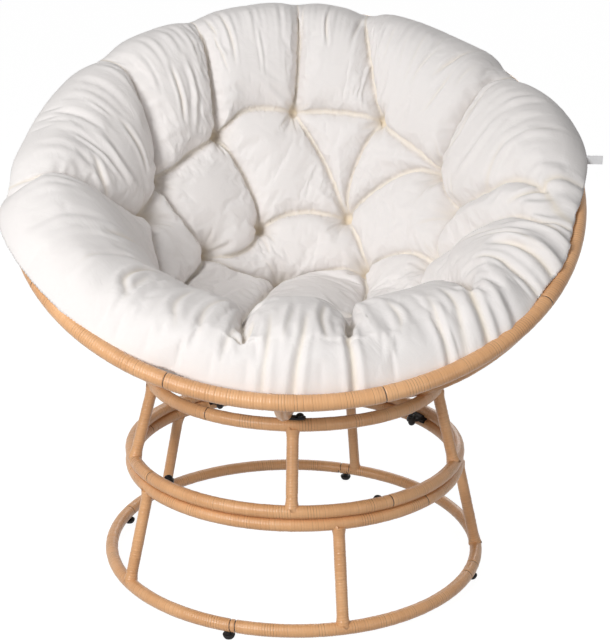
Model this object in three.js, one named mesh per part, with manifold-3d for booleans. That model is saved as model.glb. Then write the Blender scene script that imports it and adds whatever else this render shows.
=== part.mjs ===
// Papasan chair: a tilted round bowl on a two-tier hoop stand, with a loose tufted cushion.
// Millimetres, +Z up. The origin is on the floor under the middle of the stand, and the
// low front edge of the bowl faces -Y.
import * as THREE from 'three';
import { mergeVertices } from 'three/addons/utils/BufferGeometryUtils.js';
import Module from 'manifold-3d';

const wasm = await Module();
wasm.setup();

// Driving dimensions of the stand. Each hoop radius is taken to the middle of its tube.
const floorHoopRadius = 355;
const middleHoopRadius = 312;
const topHoopRadius = 273;
const standTubeRadius = 12;
const strutTubeRadius = 10.8;
const lowerStandHeight = 180.5;
const upperStandHeight = 145;

// Driving dimensions of the bowl
const rimRadius = 506;
const rimTubeRadius = 14;
const rimCentreRise = 359;
const rimTiltDegrees = 30.4;
const ribTubeRadius = 11;
const footHoopRadius = 150;
const footHoopDrop = 4.5;
const ribNesting = 3;

// Driving dimensions of the cushion
const cushionThickness = 124;
const cushionCrownRise = 38;
const frontBunchRise = 38;

// Clearances between pieces that touch, and between the cushion and the bowl
const seatGap = 0.3;
const turningGap = 0.5;
const cushionGap = 1;
const cushionRestGap = 0.6;

// Counts and directions, in degrees counter-clockwise from +X seen from above
const strutCount = 5;
const lowerStrutStartDegrees = 68.5;
const upperStrutStartDegrees = 53.5;
const ribCount = 6;
const ribStartDegrees = 27;
const glideCount = 4;
const glideStartDegrees = 72;
const clampDegrees = [33, 124.5, 215.5, 302];

const WICKER = { color: 0xd9a773, roughness: 0.55, metalness: 0 };
const STEEL = { color: 0x17161a, roughness: 0.45, metalness: 0.6 };
const RUBBER = { color: 0x1b1a1c, roughness: 0.7, metalness: 0 };
const CANVAS = { color: 0xf3efe7, roughness: 0.9, metalness: 0 };
const TAPE = { color: 0xfafafa, roughness: 0.8, metalness: 0 };

const radians = THREE.MathUtils.degToRad;
const chair = new THREE.Group();

// Adds one named piece to the chair.
function addPiece(name, geometry, finish, turnDegrees = 0) {
  const mesh = new THREE.Mesh(geometry, new THREE.MeshStandardMaterial(finish));
  mesh.name = name;
  mesh.rotation.z = radians(turnDegrees);
  chair.add(mesh);
  return mesh;
}

// Corners closer than this are one corner.
const mergeTolerance = 1e-4;

// Keeps only positions, merges shared corners and turns the faces outwards.
function closed(geometry) {
  const bare = new THREE.BufferGeometry();
  bare.setAttribute('position', geometry.getAttribute('position'));
  if (geometry.index) bare.setIndex(geometry.index);
  const merged = mergeVertices(bare, mergeTolerance);
  const p = merged.getAttribute('position');
  const kept = [];
  let volume = 0;
  const [a, b, c] = [new THREE.Vector3(), new THREE.Vector3(), new THREE.Vector3()];
  for (let i = 0; i < merged.index.count; i += 3) {
    const ids = [0, 1, 2].map((k) => merged.index.getX(i + k));
    if (ids[0] === ids[1] || ids[1] === ids[2] || ids[2] === ids[0]) continue;
    kept.push(ids);
    a.fromBufferAttribute(p, ids[0]);
    b.fromBufferAttribute(p, ids[1]);
    c.fromBufferAttribute(p, ids[2]);
    volume += a.dot(b.cross(c));
  }
  merged.setIndex(kept.flatMap((ids) => (volume < 0 ? [ids[0], ids[2], ids[1]] : ids)));
  return merged;
}

function toSolid(geometry) {
  const g = closed(geometry);
  const mesh = new wasm.Mesh({
    numProp: 3,
    vertProperties: new Float32Array(g.getAttribute('position').array),
    triVerts: new Uint32Array(g.index.array),
  });
  return new wasm.Manifold(mesh);
}

function toGeometry(solid) {
  const mesh = solid.getMesh();
  const g = new THREE.BufferGeometry();
  g.setAttribute('position', new THREE.BufferAttribute(new Float32Array(mesh.vertProperties), 3));
  g.setIndex(new THREE.BufferAttribute(new Uint32Array(mesh.triVerts), 1));
  return g;
}

// Cuts every tool geometry out of a body geometry.
function cut(body, tools) {
  let solid = toSolid(body);
  for (const tool of tools) solid = solid.subtract(toSolid(tool));
  return toGeometry(solid);
}

// A lathe turned round the Z axis, from [radius, height] pairs that start and end on it.
function turned(profile, sides) {
  const points = profile.map(([r, z]) => new THREE.Vector2(r, z));
  return new THREE.LatheGeometry(points, sides).rotateX(Math.PI / 2);
}

// A low round dome from its rim at the given height up to the axis
const domeShoulderShare = 0.75;

function domeProfile(radius, height, rise) {
  return [
    [radius, height],
    [radius, height + rise / 3],
    [radius * domeShoulderShare, height + (rise * 5) / 6],
    [0, height + rise],
  ];
}

// A round tube bent into a level hoop round the Z axis.
function hoop(radius, tubeRadius, segments, sides) {
  const points = [];
  for (let i = 0; i <= sides; i += 1) {
    const angle = (2 * Math.PI * i) / sides;
    points.push(new THREE.Vector2(radius + tubeRadius * Math.cos(angle), tubeRadius * Math.sin(angle)));
  }
  return new THREE.LatheGeometry(points, segments).rotateX(Math.PI / 2);
}

// Segments round each hoop and sides round its tube
const hoopSegments = 60;
const hoopSides = 8;

const standHoop = (radius, height, spare = 0) =>
  hoop(radius, standTubeRadius + spare, hoopSegments, hoopSides).translate(0, 0, height);

// Floor glides: a domed rubber pad moulded on a threaded stem
const glidePadRadius = 11;
const glideFlatRadius = 6;
const glidePadHeight = 9;
const glideLipHeight = 2;
const glideNeckHeight = 4;
const glideStemRadius = 3;
const glideStemInsert = 9;
const glideSides = 12;

// Threaded inserts pressed up into the floor hoop, one over each glide
const insertWall = 2;
const insertInnerRadius = glideStemRadius + turningGap;
const insertOuterRadius = insertInnerRadius + insertWall;
const insertLength = glideStemInsert + turningGap;

// Heights of the hoops above the floor
const floorHoopHeight = glidePadHeight + glideNeckHeight + standTubeRadius;
const lowerMiddleHeight = floorHoopHeight + lowerStandHeight;
const upperMiddleHeight = lowerMiddleHeight + 2 * standTubeRadius + seatGap;
const clampHeight = (lowerMiddleHeight + upperMiddleHeight) / 2;
const topHoopHeight = upperMiddleHeight + upperStandHeight;
const rimHeight = topHoopHeight + rimCentreRise;
const footHoopHeight = topHoopHeight - footHoopDrop;
const rimTilt = radians(rimTiltDegrees);

function insertShape() {
  const foot = floorHoopHeight - standTubeRadius;
  return turned([
    [insertInnerRadius, foot],
    [insertOuterRadius, foot],
    [insertOuterRadius, foot + insertLength],
    [insertInnerRadius, foot + insertLength],
    [insertInnerRadius, foot],
  ], glideSides).translate(floorHoopRadius, 0, 0);
}

function insertSocket() {
  const radius = insertOuterRadius + seatGap;
  const top = floorHoopHeight - standTubeRadius + insertLength + seatGap;
  return turned([
    [0, 0],
    [radius, 0],
    [radius, top],
    [0, top],
  ], glideSides).translate(floorHoopRadius, 0, 0);
}

function glideShape() {
  const lip = glidePadHeight - glideLipHeight;
  return turned([
    [0, 0],
    [glideFlatRadius, 0],
    [(glidePadRadius + glideFlatRadius) / 2, lip / 4],
    [glidePadRadius, lip],
    [glidePadRadius, glidePadHeight],
    [glideStemRadius, glidePadHeight],
    [glideStemRadius, glidePadHeight + glideNeckHeight + glideStemInsert],
    [0, glidePadHeight + glideNeckHeight + glideStemInsert],
  ], glideSides).translate(floorHoopRadius, 0, 0);
}

// Struts: straight tubes leaning inwards, their windings flared where they meet the hoops
const strutFlareRadius = 14;
const strutFlareLength = 26;
const strutSides = 12;

function strutShape(lowEnd, highEnd, spare = 0) {
  const tubeRadius = strutTubeRadius + spare;
  const flareRadius = strutFlareRadius + spare;
  const low = new THREE.Vector3(lowEnd.radius, 0, lowEnd.height);
  const high = new THREE.Vector3(highEnd.radius, 0, highEnd.height);
  const length = low.distanceTo(high);
  const shape = turned([
    [0, 0],
    [flareRadius, 0],
    [flareRadius, standTubeRadius],
    [tubeRadius, strutFlareLength],
    [tubeRadius, length - strutFlareLength],
    [flareRadius, length - standTubeRadius],
    [flareRadius, length],
    [0, length],
  ], strutSides);
  const up = new THREE.Vector3(0, 0, 1);
  const lean = new THREE.Quaternion().setFromUnitVectors(up, high.sub(low).normalize());
  return shape.applyQuaternion(lean).translate(low.x, low.y, low.z);
}

function turnedAbout(geometry, degrees) {
  return geometry.rotateZ(radians(degrees));
}

// The ends of the struts of each stand, on the middle lines of its hoops
const floorEnd = { radius: floorHoopRadius, height: floorHoopHeight };
const lowerMiddle = { radius: middleHoopRadius, height: lowerMiddleHeight };
const upperMiddle = { radius: middleHoopRadius, height: upperMiddleHeight };
const topEnd = { radius: topHoopRadius, height: topHoopHeight };

const strutStep = 360 / strutCount;
const strutDirections = (start) => Array.from({ length: strutCount }, (_, i) => start + i * strutStep);
const lowerStrutDirections = strutDirections(lowerStrutStartDegrees);
const upperStrutDirections = strutDirections(upperStrutStartDegrees);

function makeStrut(name, direction, low, high) {
  const shape = turnedAbout(strutShape(low, high), direction);
  const hoops = [low, high].map((end) => standHoop(end.radius, end.height, seatGap));
  addPiece(name, cut(shape, hoops), WICKER);
}

// Bowl lines: the curve from the rim to the foot hoop in the upright plane at one direction.
// Points are [distance from the axis, height]. The curve leaves the rim a little outwards,
// touches the inner side of the stand's top hoop and runs level into the foot hoop.
const ribOutwardShare = 0.3;
const ribUpperHandleShares = [0.35, 0.28];
const ribLowerHandleShares = [0.35, 0.35];

const vec = (x, y) => new THREE.Vector2(x, y);

function rimPoint(direction) {
  const across = Math.cos(direction);
  const along = Math.sin(direction) / Math.cos(rimTilt);
  const distance = rimRadius / Math.hypot(across, along);
  return vec(distance, rimHeight + distance * Math.sin(direction) * Math.tan(rimTilt));
}

// Unit directions in the upright plane: outwards along the rim's plane, and square to it.
function rimAxes(direction) {
  const slope = Math.sin(direction) * Math.tan(rimTilt);
  const outwards = vec(1, slope).normalize();
  return { outwards, upwards: vec(-outwards.y, outwards.x) };
}

function bowlLine(direction) {
  const rim = rimPoint(direction);
  const foot = vec(footHoopRadius, footHoopHeight);
  const seat = vec(topHoopRadius, topHoopHeight);
  const toRim = rim.clone().sub(seat).normalize();
  const toFoot = foot.clone().sub(seat).normalize();
  const bisector = toRim.add(toFoot).normalize();
  const touch = seat.clone().addScaledVector(bisector, standTubeRadius + ribTubeRadius - ribNesting);
  const along = vec(-bisector.y, bisector.x);
  if (along.dot(foot.clone().sub(rim)) < 0) along.negate();
  const chord = touch.clone().sub(rim);
  const reach = chord.length();
  const outwards = vec(-chord.y, chord.x).normalize();
  if (outwards.x < 0) outwards.negate();
  const start = chord.normalize().addScaledVector(outwards, ribOutwardShare).normalize();
  const [leave, arrive] = ribUpperHandleShares;
  const upper = new THREE.CubicBezierCurve(
    rim,
    rim.clone().addScaledVector(start, reach * leave),
    touch.clone().addScaledVector(along, -reach * arrive),
    touch,
  );
  const lowerReach = foot.distanceTo(touch);
  const [depart, settle] = ribLowerHandleShares;
  const lower = new THREE.CubicBezierCurve(
    touch,
    touch.clone().addScaledVector(along, lowerReach * depart),
    foot.clone().add(vec(lowerReach * settle, 0)),
    foot,
  );
  return { rim, touch, foot, upper, lower, along };
}

const ribUpperSteps = 12;
const ribLowerSteps = 6;
const ribSides = 8;

function tubeOutline(radius, sides) {
  const outline = new THREE.Shape();
  for (let i = 0; i < sides; i += 1) {
    const angle = (2 * Math.PI * i) / sides;
    const [x, y] = [radius * Math.cos(angle), radius * Math.sin(angle)];
    if (i === 0) outline.moveTo(x, y);
    else outline.lineTo(x, y);
  }
  outline.closePath();
  return outline;
}

function ribShape(direction, radius) {
  const line = bowlLine(direction);
  const upper = line.upper.getSpacedPoints(ribUpperSteps);
  const lower = line.lower.getSpacedPoints(ribLowerSteps).slice(1);
  const [c, s] = [Math.cos(direction), Math.sin(direction)];
  const points = [...upper, ...lower].map((p) => new THREE.Vector3(p.x * c, p.x * s, p.y));
  const path = new THREE.CatmullRomCurve3(points);
  return new THREE.ExtrudeGeometry(tubeOutline(radius, ribSides), {
    steps: ribUpperSteps + ribLowerSteps,
    extrudePath: path,
    bevelEnabled: false,
  });
}

const rimSegments = 72;
const rimShape = (spare) =>
  hoop(rimRadius, rimTubeRadius + spare, rimSegments, hoopSides).rotateX(rimTilt).translate(0, 0, rimHeight);
const footHoopSegments = 36;
const footHoopShape = (spare) =>
  hoop(footHoopRadius, ribTubeRadius + spare, footHoopSegments, hoopSides).translate(0, 0, footHoopHeight);

function makeRib(name, directionDegrees) {
  const shape = ribShape(radians(directionDegrees), ribTubeRadius);
  const topHoop = standHoop(topHoopRadius, topHoopHeight, seatGap);
  addPiece(name, cut(shape, [rimShape(seatGap), footHoopShape(seatGap), topHoop]), WICKER);
}

// Clamps that bolt the two stands together: a welded tab on each middle hoop, drawn
// together by one upright bolt with domed ends
const clampBoltInset = 32;
const clampTabThickness = 3;
const clampTabEnd = 10;
const clampTabNarrow = 18;
const clampTabWide = 30;
const clampWingHeight = 8;
const clampWingReach = 4;
const clampBoltRadius = 3.5;
const clampHeadRadius = 8;
const clampHeadHeight = 7;
const clampNutRadius = 7.5;
const clampNutHeight = 10;
const clampNutCap = 3;
const clampBoltTail = 5;
const boltSides = 12;

const clampBoltPlace = middleHoopRadius - clampBoltInset;
const halfJointGap = seatGap / 2;

// The tab's side view is cut with its plan: a wing rises against the tube, and the
// plate narrows to a rounded end round the bolt.
function clampTabShape() {
  const low = halfJointGap;
  const top = low + clampTabThickness;
  const inner = clampBoltPlace - clampTabEnd;
  const outer = middleHoopRadius - clampTabThickness;
  const tubeInside = middleHoopRadius - standTubeRadius;
  const side = new THREE.Shape([
    vec(inner, low),
    vec(outer, low),
    vec(outer, low + clampWingHeight),
    vec(tubeInside - clampTabThickness, low + clampWingHeight),
    vec(tubeInside - clampTabThickness - clampWingReach, top + clampTabThickness),
    vec(tubeInside - clampTabThickness - 2 * clampWingReach, top),
    vec(inner, top),
  ]);
  const sideBody = new THREE.ExtrudeGeometry(side, { depth: clampTabWide, bevelEnabled: false });
  sideBody.rotateX(Math.PI / 2).translate(0, clampTabWide / 2, 0);
  const plan = new THREE.Shape();
  plan.moveTo(outer, -clampTabWide / 2);
  plan.lineTo(outer, clampTabWide / 2);
  plan.lineTo(tubeInside - clampTabThickness, clampTabWide / 2);
  plan.lineTo(clampBoltPlace, clampTabNarrow / 2);
  const shoulder = Math.PI - Math.asin(clampTabNarrow / 2 / clampTabEnd);
  plan.absarc(clampBoltPlace, 0, clampTabEnd, shoulder, 2 * Math.PI - shoulder, false);
  plan.lineTo(clampBoltPlace, -clampTabNarrow / 2);
  plan.closePath();
  const planBody = new THREE.ExtrudeGeometry(plan, {
    depth: 2 * clampWingHeight,
    bevelEnabled: false,
    curveSegments: 4,
  });
  planBody.translate(0, 0, -halfJointGap);
  return toGeometry(toSolid(sideBody).intersect(toSolid(planBody)));
}

function clampBore() {
  const radius = clampBoltRadius + seatGap;
  return turned([
    [0, -clampWingHeight],
    [radius, -clampWingHeight],
    [radius, clampWingHeight],
    [0, clampWingHeight],
  ], boltSides).translate(clampBoltPlace, 0, 0);
}

// The struts of a tab's own stand, with the gap that the tab keeps from them
function clearedStruts(side) {
  const [low, high] = side < 0 ? [floorEnd, lowerMiddle] : [upperMiddle, topEnd];
  const directions = side < 0 ? lowerStrutDirections : upperStrutDirections;
  return directions.map((direction) => turnedAbout(strutShape(low, high, seatGap), direction));
}

function clampTab(side, direction) {
  const shape = clampTabShape();
  if (side < 0) shape.rotateX(Math.PI);
  const bored = cut(shape, [clampBore()]).rotateZ(radians(direction)).translate(0, 0, clampHeight);
  const hoopHeight = side < 0 ? lowerMiddleHeight : upperMiddleHeight;
  return cut(bored, [standHoop(middleHoopRadius, hoopHeight, seatGap), ...clearedStruts(side)]);
}

const clampStack = halfJointGap + clampTabThickness;

function clampBolt() {
  const seat = clampStack + seatGap;
  const foot = -seat - clampBoltTail;
  return turned([
    [0, foot],
    [clampBoltRadius, foot],
    [clampBoltRadius, seat],
    ...domeProfile(clampHeadRadius, seat, clampHeadHeight),
  ], boltSides).translate(clampBoltPlace, 0, clampHeight);
}

function clampNut() {
  const seat = -clampStack - seatGap;
  const bore = clampBoltRadius + seatGap;
  const roof = seat - clampBoltTail - seatGap;
  const foot = seat - clampNutHeight;
  return turned([
    [0, foot],
    [clampNutRadius * domeShoulderShare, foot + clampNutCap / 4],
    [clampNutRadius, foot + clampNutCap],
    [clampNutRadius, seat],
    [bore, seat],
    [bore, roof],
    [0, roof],
  ], boltSides).translate(clampBoltPlace, 0, clampHeight);
}

// Bowl fixings: a flat tab on the side of every second rib lies across the top hoop and
// is screwed down into it
const bowlTabThickness = 3;
const bowlTabLength = 34;
const bowlTabHalfWidth = 8;
const bowlScrewPlace = 24;
const bowlScrewRadius = 3;
const bowlScrewDepth = 10;
const bowlHeadRadius = 7;
const bowlHeadHeight = 6;

const bowlTabHeight = topHoopHeight + standTubeRadius + seatGap;

function bowlTab(direction) {
  const plan = new THREE.Shape();
  plan.moveTo(topHoopRadius - bowlTabHalfWidth, 0);
  plan.lineTo(topHoopRadius + bowlTabHalfWidth, 0);
  plan.lineTo(topHoopRadius + bowlTabHalfWidth, bowlTabLength - bowlTabHalfWidth);
  plan.absarc(topHoopRadius, bowlTabLength - bowlTabHalfWidth, bowlTabHalfWidth, 0, Math.PI, false);
  plan.closePath();
  const plate = new THREE.ExtrudeGeometry(plan, {
    depth: bowlTabThickness,
    bevelEnabled: false,
    curveSegments: 8,
  });
  plate.translate(0, 0, bowlTabHeight);
  const bore = turned([
    [0, topHoopHeight],
    [bowlScrewRadius + seatGap, topHoopHeight],
    [bowlScrewRadius + seatGap, rimHeight],
    [0, rimHeight],
  ], boltSides).translate(topHoopRadius, bowlScrewPlace, 0);
  const shape = cut(plate, [bore]).rotateZ(radians(direction));
  return cut(shape, [ribShape(radians(direction), ribTubeRadius + seatGap)]);
}

function bowlScrew(spare = 0) {
  const seat = bowlTabHeight + bowlTabThickness + seatGap;
  return turned([
    [0, topHoopHeight + standTubeRadius - bowlScrewDepth - spare],
    [bowlScrewRadius + spare, topHoopHeight + standTubeRadius - bowlScrewDepth - spare],
    [bowlScrewRadius + spare, seat],
    ...domeProfile(bowlHeadRadius, seat, bowlHeadHeight),
  ], boltSides).translate(topHoopRadius, bowlScrewPlace, 0);
}

// Cushion: a flat round pad laid in the bowl. Seen in the upright plane at a direction, its
// underside follows the bowl line, passes round the rim and ends in the sewn edge. Its upper
// side stands off the underside by the pad's thickness, less at the sewn tufts and at the
// channels between them. The pad's grid spreads from its own centre, which lies up the back.
const padSpokes = 48;
const padRings = 18;
const padUnderShares = [0.25, 0.5, 0.7, 0.84];

// Where the sewn edge lies from the middle of the rim tube: outwards along the rim's
// plane and up from it, at the right, rear, left and front. It also hangs over at the left.
const edgeOut = { right: 20, rear: 5, left: 8, front: -30 };
const edgeUp = { right: 30, rear: 28, left: 28, front: 8 };
const overhang = { centreDegrees: 187, spreadDegrees: 28, out: 34 };

// How the underside passes the rim tube: at two angles round it, drawn back at the front
const rimPassDegrees = [187, 120];
const rimPassGap = 4.5;
const frontDraw = [{ out: -16, up: -12 }, { out: -24, up: -16 }];
const brimReach = 75;
const wallPlaceShares = [0.55, 0.2];
const wallSlack = 3;
const flatFootShare = 0.6;

// Thickness from the middle of the pad (share 0) to the sewn edge (share 1)
const crownPlaceShare = 0.78;
const crownSpreadShare = 0.22;
const edgeRoundShare = 0.26;

// The pad stands off its underside square to a chord this far to each side, so that it
// bends smoothly where the seat turns up into the back.
const bendSpan = 110;

// Tufts in the flat pad, as [direction in degrees, share of the pad's radius] from its centre
const padRadius = 700;
const padCentreShift = 215;
const outerTuftShares = [
  [172.5, 0.707], [135, 0.643], [90, 0.643], [45, 0.643], [7.5, 0.707],
  [330, 0.707], [292.5, 0.707], [255, 0.707], [210, 0.707],
];
const innerTuftShares = [
  [172.5, 0.342], [120, 0.342], [52.5, 0.342], [7.5, 0.342], [300, 0.342], [247.5, 0.342],
];
const middleTuftShares = [[150, 0.087]];
const tuftDepthShare = 0.6;
const channelDepthShare = 0.32;
const tuftSpread = 55;
const channelSpread = 42;

function quarterBlend(table, direction) {
  const [c, s] = [Math.cos(direction), Math.sin(direction)];
  const across = c > 0 ? table.right : table.left;
  const along = s > 0 ? table.rear : table.front;
  return c ** 2 * across + s ** 2 * along;
}

// How far the edge's overhang has come up at a direction, from 0 to 1
function overhangPart(direction) {
  const turn = radians(overhang.centreDegrees) - direction;
  const nearest = Math.atan2(Math.sin(turn), Math.cos(turn));
  return Math.exp(-((nearest / radians(overhang.spreadDegrees)) ** 2));
}

// The direction square to a line that runs outwards from the axis, on the bowl's inner side
const inwardsOf = (tangent) => vec(-tangent.y, tangent.x).normalize();

const frontPart = (direction) => Math.max(0, -Math.sin(direction)) ** 2;

// The underside's line at a direction, as a curve of [distance from the axis, height]
function underLine(direction) {
  const line = bowlLine(direction);
  const { outwards, upwards } = rimAxes(direction);
  const fromRim = (out, up) =>
    line.rim.clone().addScaledVector(outwards, out).addScaledVector(upwards, up);
  const rest = footHoopHeight + ribTubeRadius + cushionRestGap;
  const offset = ribTubeRadius + cushionGap;
  const wall = wallPlaceShares.map((share) => line.upper.getPoint(share)
    .addScaledVector(inwardsOf(line.upper.getTangent(share).negate()), offset + wallSlack));
  const passes = rimPassDegrees.map((degrees, i) => {
    const reach = rimTubeRadius + rimPassGap;
    const draw = frontPart(direction);
    return fromRim(
      reach * Math.cos(radians(degrees)) + draw * frontDraw[i].out,
      reach * Math.sin(radians(degrees)) + draw * frontDraw[i].up,
    );
  });
  const edge = fromRim(
    quarterBlend(edgeOut, direction) + overhang.out * overhangPart(direction),
    quarterBlend(edgeUp, direction),
  );
  const points = [
    vec(0, rest),
    vec(footHoopRadius * flatFootShare, rest),
    vec(footHoopRadius, rest),
    vec(footHoopRadius + ribTubeRadius, rest),
    line.touch.clone().addScaledVector(inwardsOf(line.along.clone().negate()), offset + wallSlack),
    ...wall,
    ...passes,
    edge,
  ];
  const places = points.map((p) => new THREE.Vector3(p.x, p.y, 0));
  const curve = new THREE.CatmullRomCurve3(places, false, 'centripetal');
  const length = curve.getLength();
  return { curve, length, brim: [curve.getPointAt(1 - brimReach / length), ...curve.points.slice(-3)] };
}

// Turns a point of an upright section to its direction.
const stoodUp = (p, direction) =>
  new THREE.Vector3(p.x * Math.cos(direction), p.x * Math.sin(direction), p.y);

function distanceToSegment(p, [a, b]) {
  const ab = b.clone().sub(a);
  const along = THREE.MathUtils.clamp(p.clone().sub(a).dot(ab) / ab.lengthSq(), 0, 1);
  return p.distanceTo(a.clone().addScaledVector(ab, along));
}

// Places of the tufts in the flat pad
const padCentre = vec(0, padCentreShift);
const padPlace = (degrees, share) =>
  vec(share * padRadius, 0).rotateAround(vec(0, 0), radians(degrees)).add(padCentre);
const placeTufts = (table) => table.map(([degrees, share]) => padPlace(degrees, share));
const outerTufts = placeTufts(outerTuftShares);
const innerTufts = placeTufts(innerTuftShares);
const middleTufts = placeTufts(middleTuftShares);
const tufts = [...outerTufts, ...innerTufts, ...middleTufts];

// Channels run round each ring of tufts, from each outer tuft to the edge, and from each
// inner tuft inwards to the middle one and outwards to the nearest outer tuft.
function makeChannels() {
  const ringChannels = (ring) => ring.map((tuft, i) => [tuft, ring[(i + 1) % ring.length]]);
  const toEdge = outerTuftShares.map(([degrees], i) => [outerTufts[i], padPlace(degrees, 1)]);
  const inwards = innerTufts.map((tuft) => [tuft, middleTufts[0]]);
  const outwards = innerTufts.map((tuft) => {
    const nearest = [...outerTufts].sort((a, b) => a.distanceTo(tuft) - b.distanceTo(tuft));
    return [tuft, nearest[0]];
  });
  return [...ringChannels(outerTufts), ...ringChannels(innerTufts), ...toEdge, ...inwards, ...outwards];
}
const channels = makeChannels();

function tuftDip(place) {
  const tuft = Math.min(...tufts.map((t) => t.distanceTo(place)));
  const channel = Math.min(...channels.map((ends) => distanceToSegment(place, ends)));
  const deep = tuftDepthShare * Math.exp(-((tuft / tuftSpread) ** 2));
  const shallow = channelDepthShare * Math.exp(-((channel / channelSpread) ** 2));
  return Math.max(deep, shallow);
}

function padThickness(share, direction) {
  const crown = Math.exp(-(((share - crownPlaceShare) / crownSpreadShare) ** 2));
  const edge = Math.min((1 - share) / edgeRoundShare, 1);
  const rise = cushionCrownRise + frontBunchRise * frontPart(direction);
  return (cushionThickness + rise * crown) * Math.sqrt(1 - (1 - edge) ** 2);
}

// The under and upper points of the pad at a place in the flat pad, where share says how
// far the place lies from the pad's centre to its edge
function padPoints(place, share) {
  const direction = place.angle();
  const { curve, length } = underLine(direction);
  const along = Math.min(place.length() / length, 1);
  const under = curve.getPointAt(along);
  const span = bendSpan / length;
  const before = curve.getPointAt(Math.max(along - span, 0));
  const normal = inwardsOf(curve.getPointAt(Math.min(along + span, 1)).sub(before));
  const stand = padThickness(share, direction) * (1 - tuftDip(place));
  const upper = under.clone().add(new THREE.Vector3(normal.x, normal.y, 0).multiplyScalar(stand));
  return { under: stoodUp(under, direction), upper: stoodUp(upper, direction) };
}

// One spoke of the pad's skin: out along the underside, round the edge and back on top
function padSpoke(index) {
  const direction = padPlace((360 * index) / padSpokes, 1).angle();
  const { length, brim } = underLine(direction);
  const edge = vec(Math.cos(direction), Math.sin(direction)).multiplyScalar(length);
  const placeAt = (share) => padCentre.clone().lerp(edge, share);
  const under = padUnderShares.map((share) => padPoints(placeAt(share), share).under);
  const upper = [];
  for (let i = padRings - 1; i >= 1; i -= 1) {
    const share = Math.sin(((Math.PI / 2) * i) / padRings);
    upper.push(padPoints(placeAt(share), share).upper);
  }
  return [...under, ...brim.map((p) => stoodUp(p, direction)), ...upper];
}

function cushionShape() {
  const spokes = Array.from({ length: padSpokes }, (_, j) => padSpoke(j));
  const rows = spokes[0].length;
  const middle = padPoints(padCentre, 0);
  const points = [middle.under, ...spokes.flat(), middle.upper];
  const last = points.length - 1;
  const faces = [];
  for (let j = 0; j < padSpokes; j += 1) {
    const here = 1 + j * rows;
    const next = 1 + ((j + 1) % padSpokes) * rows;
    faces.push(0, next, here);
    for (let i = 0; i < rows - 1; i += 1) {
      faces.push(here + i, next + i, next + i + 1, here + i, next + i + 1, here + i + 1);
    }
    faces.push(last, here + rows - 1, next + rows - 1);
  }
  const geometry = new THREE.BufferGeometry().setFromPoints(points);
  geometry.setIndex(faces);
  return closed(geometry);
}

// A blank woven tag sewn into the cushion's edge
const tagSpoke = 46;
const tagLength = 30;
const tagWidth = 16;
const tagThickness = 1;

function tagShape() {
  const direction = padPlace((360 * tagSpoke) / padSpokes, 1).angle();
  const edge = underLine(direction).brim.at(-1);
  const tag = new THREE.BoxGeometry(tagLength, tagThickness, tagWidth);
  tag.translate(edge.x + tagLength / 2 + seatGap, 0, edge.y);
  return tag.rotateZ(direction);
}

// The stand
const glideStep = 360 / glideCount;
const glideDirections = Array.from({ length: glideCount }, (_, i) => glideStartDegrees + i * glideStep);
const sockets = glideDirections.map((direction) => turnedAbout(insertSocket(), direction));
addPiece('floor_hoop', cut(standHoop(floorHoopRadius, floorHoopHeight), sockets), WICKER);
addPiece('lower_stand_top_hoop', closed(standHoop(middleHoopRadius, lowerMiddleHeight)), WICKER);
addPiece('upper_stand_bottom_hoop', closed(standHoop(middleHoopRadius, upperMiddleHeight)), WICKER);

const ribStep = 360 / ribCount;
const ribDirections = Array.from({ length: ribCount }, (_, i) => ribStartDegrees + i * ribStep);
const fixedRibs = ribDirections.filter((_, i) => i % 2 === 0);
const screwHoles = fixedRibs.map((direction) => turnedAbout(bowlScrew(seatGap), direction));
addPiece('top_hoop', cut(standHoop(topHoopRadius, topHoopHeight), screwHoles), WICKER);

lowerStrutDirections.forEach((direction, i) => {
  makeStrut(`lower_strut_${i + 1}`, direction, floorEnd, lowerMiddle);
});
upperStrutDirections.forEach((direction, i) => {
  makeStrut(`upper_strut_${i + 1}`, direction, upperMiddle, topEnd);
});

glideDirections.forEach((direction, i) => {
  addPiece(`glide_insert_${i + 1}`, closed(insertShape()), STEEL, direction);
  addPiece(`floor_glide_${i + 1}`, closed(glideShape()), RUBBER, direction);
});

clampDegrees.forEach((direction, i) => {
  addPiece(`clamp_lower_tab_${i + 1}`, clampTab(-1, direction), STEEL);
  addPiece(`clamp_upper_tab_${i + 1}`, clampTab(1, direction), STEEL);
  addPiece(`clamp_bolt_${i + 1}`, closed(clampBolt()), STEEL, direction);
  addPiece(`clamp_cap_nut_${i + 1}`, closed(clampNut()), STEEL, direction);
});

// The bowl
addPiece('bowl_rim', closed(rimShape(0)), WICKER);
addPiece('bowl_foot_hoop', closed(footHoopShape(0)), WICKER);
ribDirections.forEach((direction, i) => makeRib(`bowl_rib_${i + 1}`, direction));
fixedRibs.forEach((direction, i) => {
  addPiece(`bowl_tab_${i + 1}`, bowlTab(direction), STEEL);
  addPiece(`bowl_screw_${i + 1}`, closed(bowlScrew()), STEEL, direction);
});

// The cushion and its tag
addPiece('cushion', cushionShape(), CANVAS);
addPiece('cushion_tag', closed(tagShape()), TAPE);

export default chair;
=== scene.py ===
"""A papasan chair: a strand-wound bowl on a two-tier hoop stand, with a loose tufted cushion."""
import math

import bpy
import numpy as np
from mathutils import Matrix, Vector
from mathutils.geometry import delaunay_2d_cdt


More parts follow.
